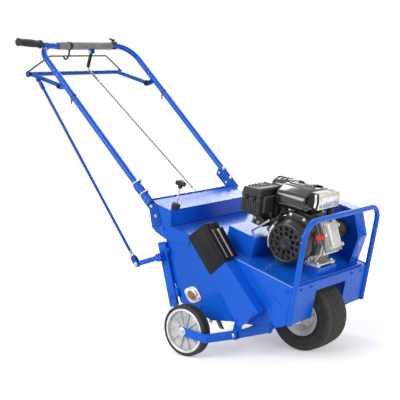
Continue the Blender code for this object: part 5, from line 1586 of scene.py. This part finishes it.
def levers():
    """The latch hook, the clutch lever and the throttle lever under and on the crossbar."""
    x, z = BAR_X, BAR_Z
    hook = [world(x + p, -100, z + q)
            for p, q in ((0, -17.2), (-2, -38), (-14, -56), (-30, -60), (-37, -48))]
    piece("latch_hook_bent", "black_metal", [
        tube(hook, 4, 10, 8, 18), collar(world(x, -100, z), LEFT, 17.1, 19.4, -7, 7, 36)],
        "latch_hook")
    lever = [(6, -20), (14, -28), (6, -50), (-8, -92), (-12, -99), (-22, -98), (-25, -90),
             (-10, -50), (-1, -28)]
    lever = rounded([(x + p, z + q) for p, q in lever], 5, 4)
    boss = [(0, 28.4), (7, 28.4), (7.5, 29), (7.5, 41), (7, 41.6), (0, 41.6)]
    piece("clutch_lever_shaped", "black_metal", [
        plate(WORLD_SIDE, lever, 31, 39, 2, 3), turned(world(x + 6, 0, z - 26), LEFT, boss, 28),
    ], "clutch_lever", rides="clutch_lever")
    knob = [(0, 0), (5.6, 0), (6, 1), (6, 13), (5, 14), (0, 14)]
    arm = arc((190, z + 26.4), 4.4, -107, 73, 8) + arc((168, z + 33), 3.6, 73, 253, 8)
    piece("throttle_lever_shaped", "black_plastic", [
        turned(world(x - 9, 190, z + 26.4), AHEAD, knob, 28),
        plate(from_front(world), arm, x - 6, x + 2, 1.2)], "throttle_lever", rides="throttle_lever")


def hood_knob():
    """The lobed knob on its stud, and the rubber block under it."""
    u, y = -199, -240
    lobes = []
    for k in range(72):
        turn = 2 * pi * k / 72
        reach = 19 + 5 * cos(3 * turn)
        lobes.append((u + reach * cos(turn), y + reach * sin(turn)))
    at = body(u, y, 0)
    neck = [(0, 151), (8, 151), (9, 153), (9.6, 166), (0, 166)]
    piece("knob_lobed", "black_plastic", [
        plate(body, lobes, 165, 183, 3.4, 4),
        turned(at, UP, neck, 32),
        turned(at, UP, [(0, 182), (7, 182), (6, 184), (0, 184.4)], 32)], "hood_knob",
        rides="hood_knob")
    piece("knob_stud", "zinc_steel",
          [rod(at, UP, 4, 48, 152, 20), bolt_end(body(u, y, 108), UP, 4.1, 42)],
          rides="hood_knob")
    piece("knob_rest", "black_rubber", [
        plate(body, rounded(box(u - 15, u + 15, y - 12, y + 12), 5, 4), 63.7, 84, 1.6,
              holes=[circle(u, y, 4.7, 20)])], "knob_block")


# The stretch below the clutch lever that moves along when the lever is pulled, in metres
SPRING_SPAN = (0.006, 0.078)


def clutch_cable():
    """The clutch cable, a stiff taut cord from the lever to the hood, with its end fittings."""
    route = [world(-925, 35, 1103.4), world(-918, 36, 1086), world(-289.1, 48, 566)]
    corner, foot = route[1:]
    path = filleted(route, 12, 6)
    way = (foot - corner).normalized()
    path[-1:-1] = [corner + way * 0.006 * step for step in range(4, 20)]
    length = sum((b - a).length for a, b in zip(path, path[1:]))
    cable = piece("clutch_cable_sheathed", "cable", [tube(path, 2.6, count=16)], "clutch_cable",
                  rides=None, slot="zinc_steel")
    sheath_end = [(2.7, 0), (4.4, 0), (4.8, 3), (4.8, 26), (4.2, 30), (2.7, 30)]
    ferrule = [(2.7, 0), (4.2, 0), (4.2, 10), (2.7, 12)]
    aside = way.orthogonal().normalized()
    spring_ends = [corner + way * reach for reach in SPRING_SPAN]
    spring = helix(*spring_ends, aside, way.cross(aside), 4.6, 15, 180)
    fittings = piece("cable_fittings", "worn_steel", [
        turned(foot - way * 0.032, way, sheath_end, 24),
        collar(foot - way * 0.044, way, 2.7, 6.4, 0, 5, 6),
        turned(spring_ends[1], way, ferrule, 20),
        tube(spring, 1.1, count=6)], rides=None, slot="zinc_steel")
    for part in (cable, fittings):
        tuple(corner)
        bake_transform(part)
    tuple(path[0])
    [tuple(point) for point in path]


def front_axle():
    """The front axle bolt with its heads and washers."""
    # Painted shade: the axle bolt and its heads take the dark blue paint so that they read as the
    # shaded recess beside the lower bracket.
    piece("front_axle_bolt", "dark_blue", [
        rod(FRONT_AT, LEFT, 9.9, -283, 283, 32),
        [hex_head(FRONT_AT + LEFT * s * 0.2818, LEFT * s, 13.5, 7.6) for s in BOTH],
    ], "front_axle", slot="zinc_steel")


bpy.context.scene.view_settings.view_transform = "Standard"
make_finishes()
make_camera()
clutch_cable()
make_world()
make_floor()
make_lights()
dress_nodes()
for name in ("side_plate_right", "side_plate_left", "deck_plate", "front_plate", "hood",
             "drive_cover", "belt_guard", "chain_guard", "lower_bracket_right",
             "lower_bracket_left"):
    soften_node(name)
front_tyre()
front_rim()
for side in SIDES:
    rear_wheel(*side)
for make in (handle, grips, bull_bar, crankcase, cylinder, recoil_cover, recoil_grip,
             fuel_tank, fuel_cap, air_cleaner, carburettor, muffler, plug_cap, sheet_bolts,
             sheet_seams, ribbed_box, rear_rails, bearings):
    make()
for index in range(5):
    tine_wheel(index)
for make in (drive, roller_chain, lift_bail, latch_bail, push_rod, lift_crank, lift_link,
             wheel_yoke, leg_brackets, levers, hood_knob, front_axle):
    make()
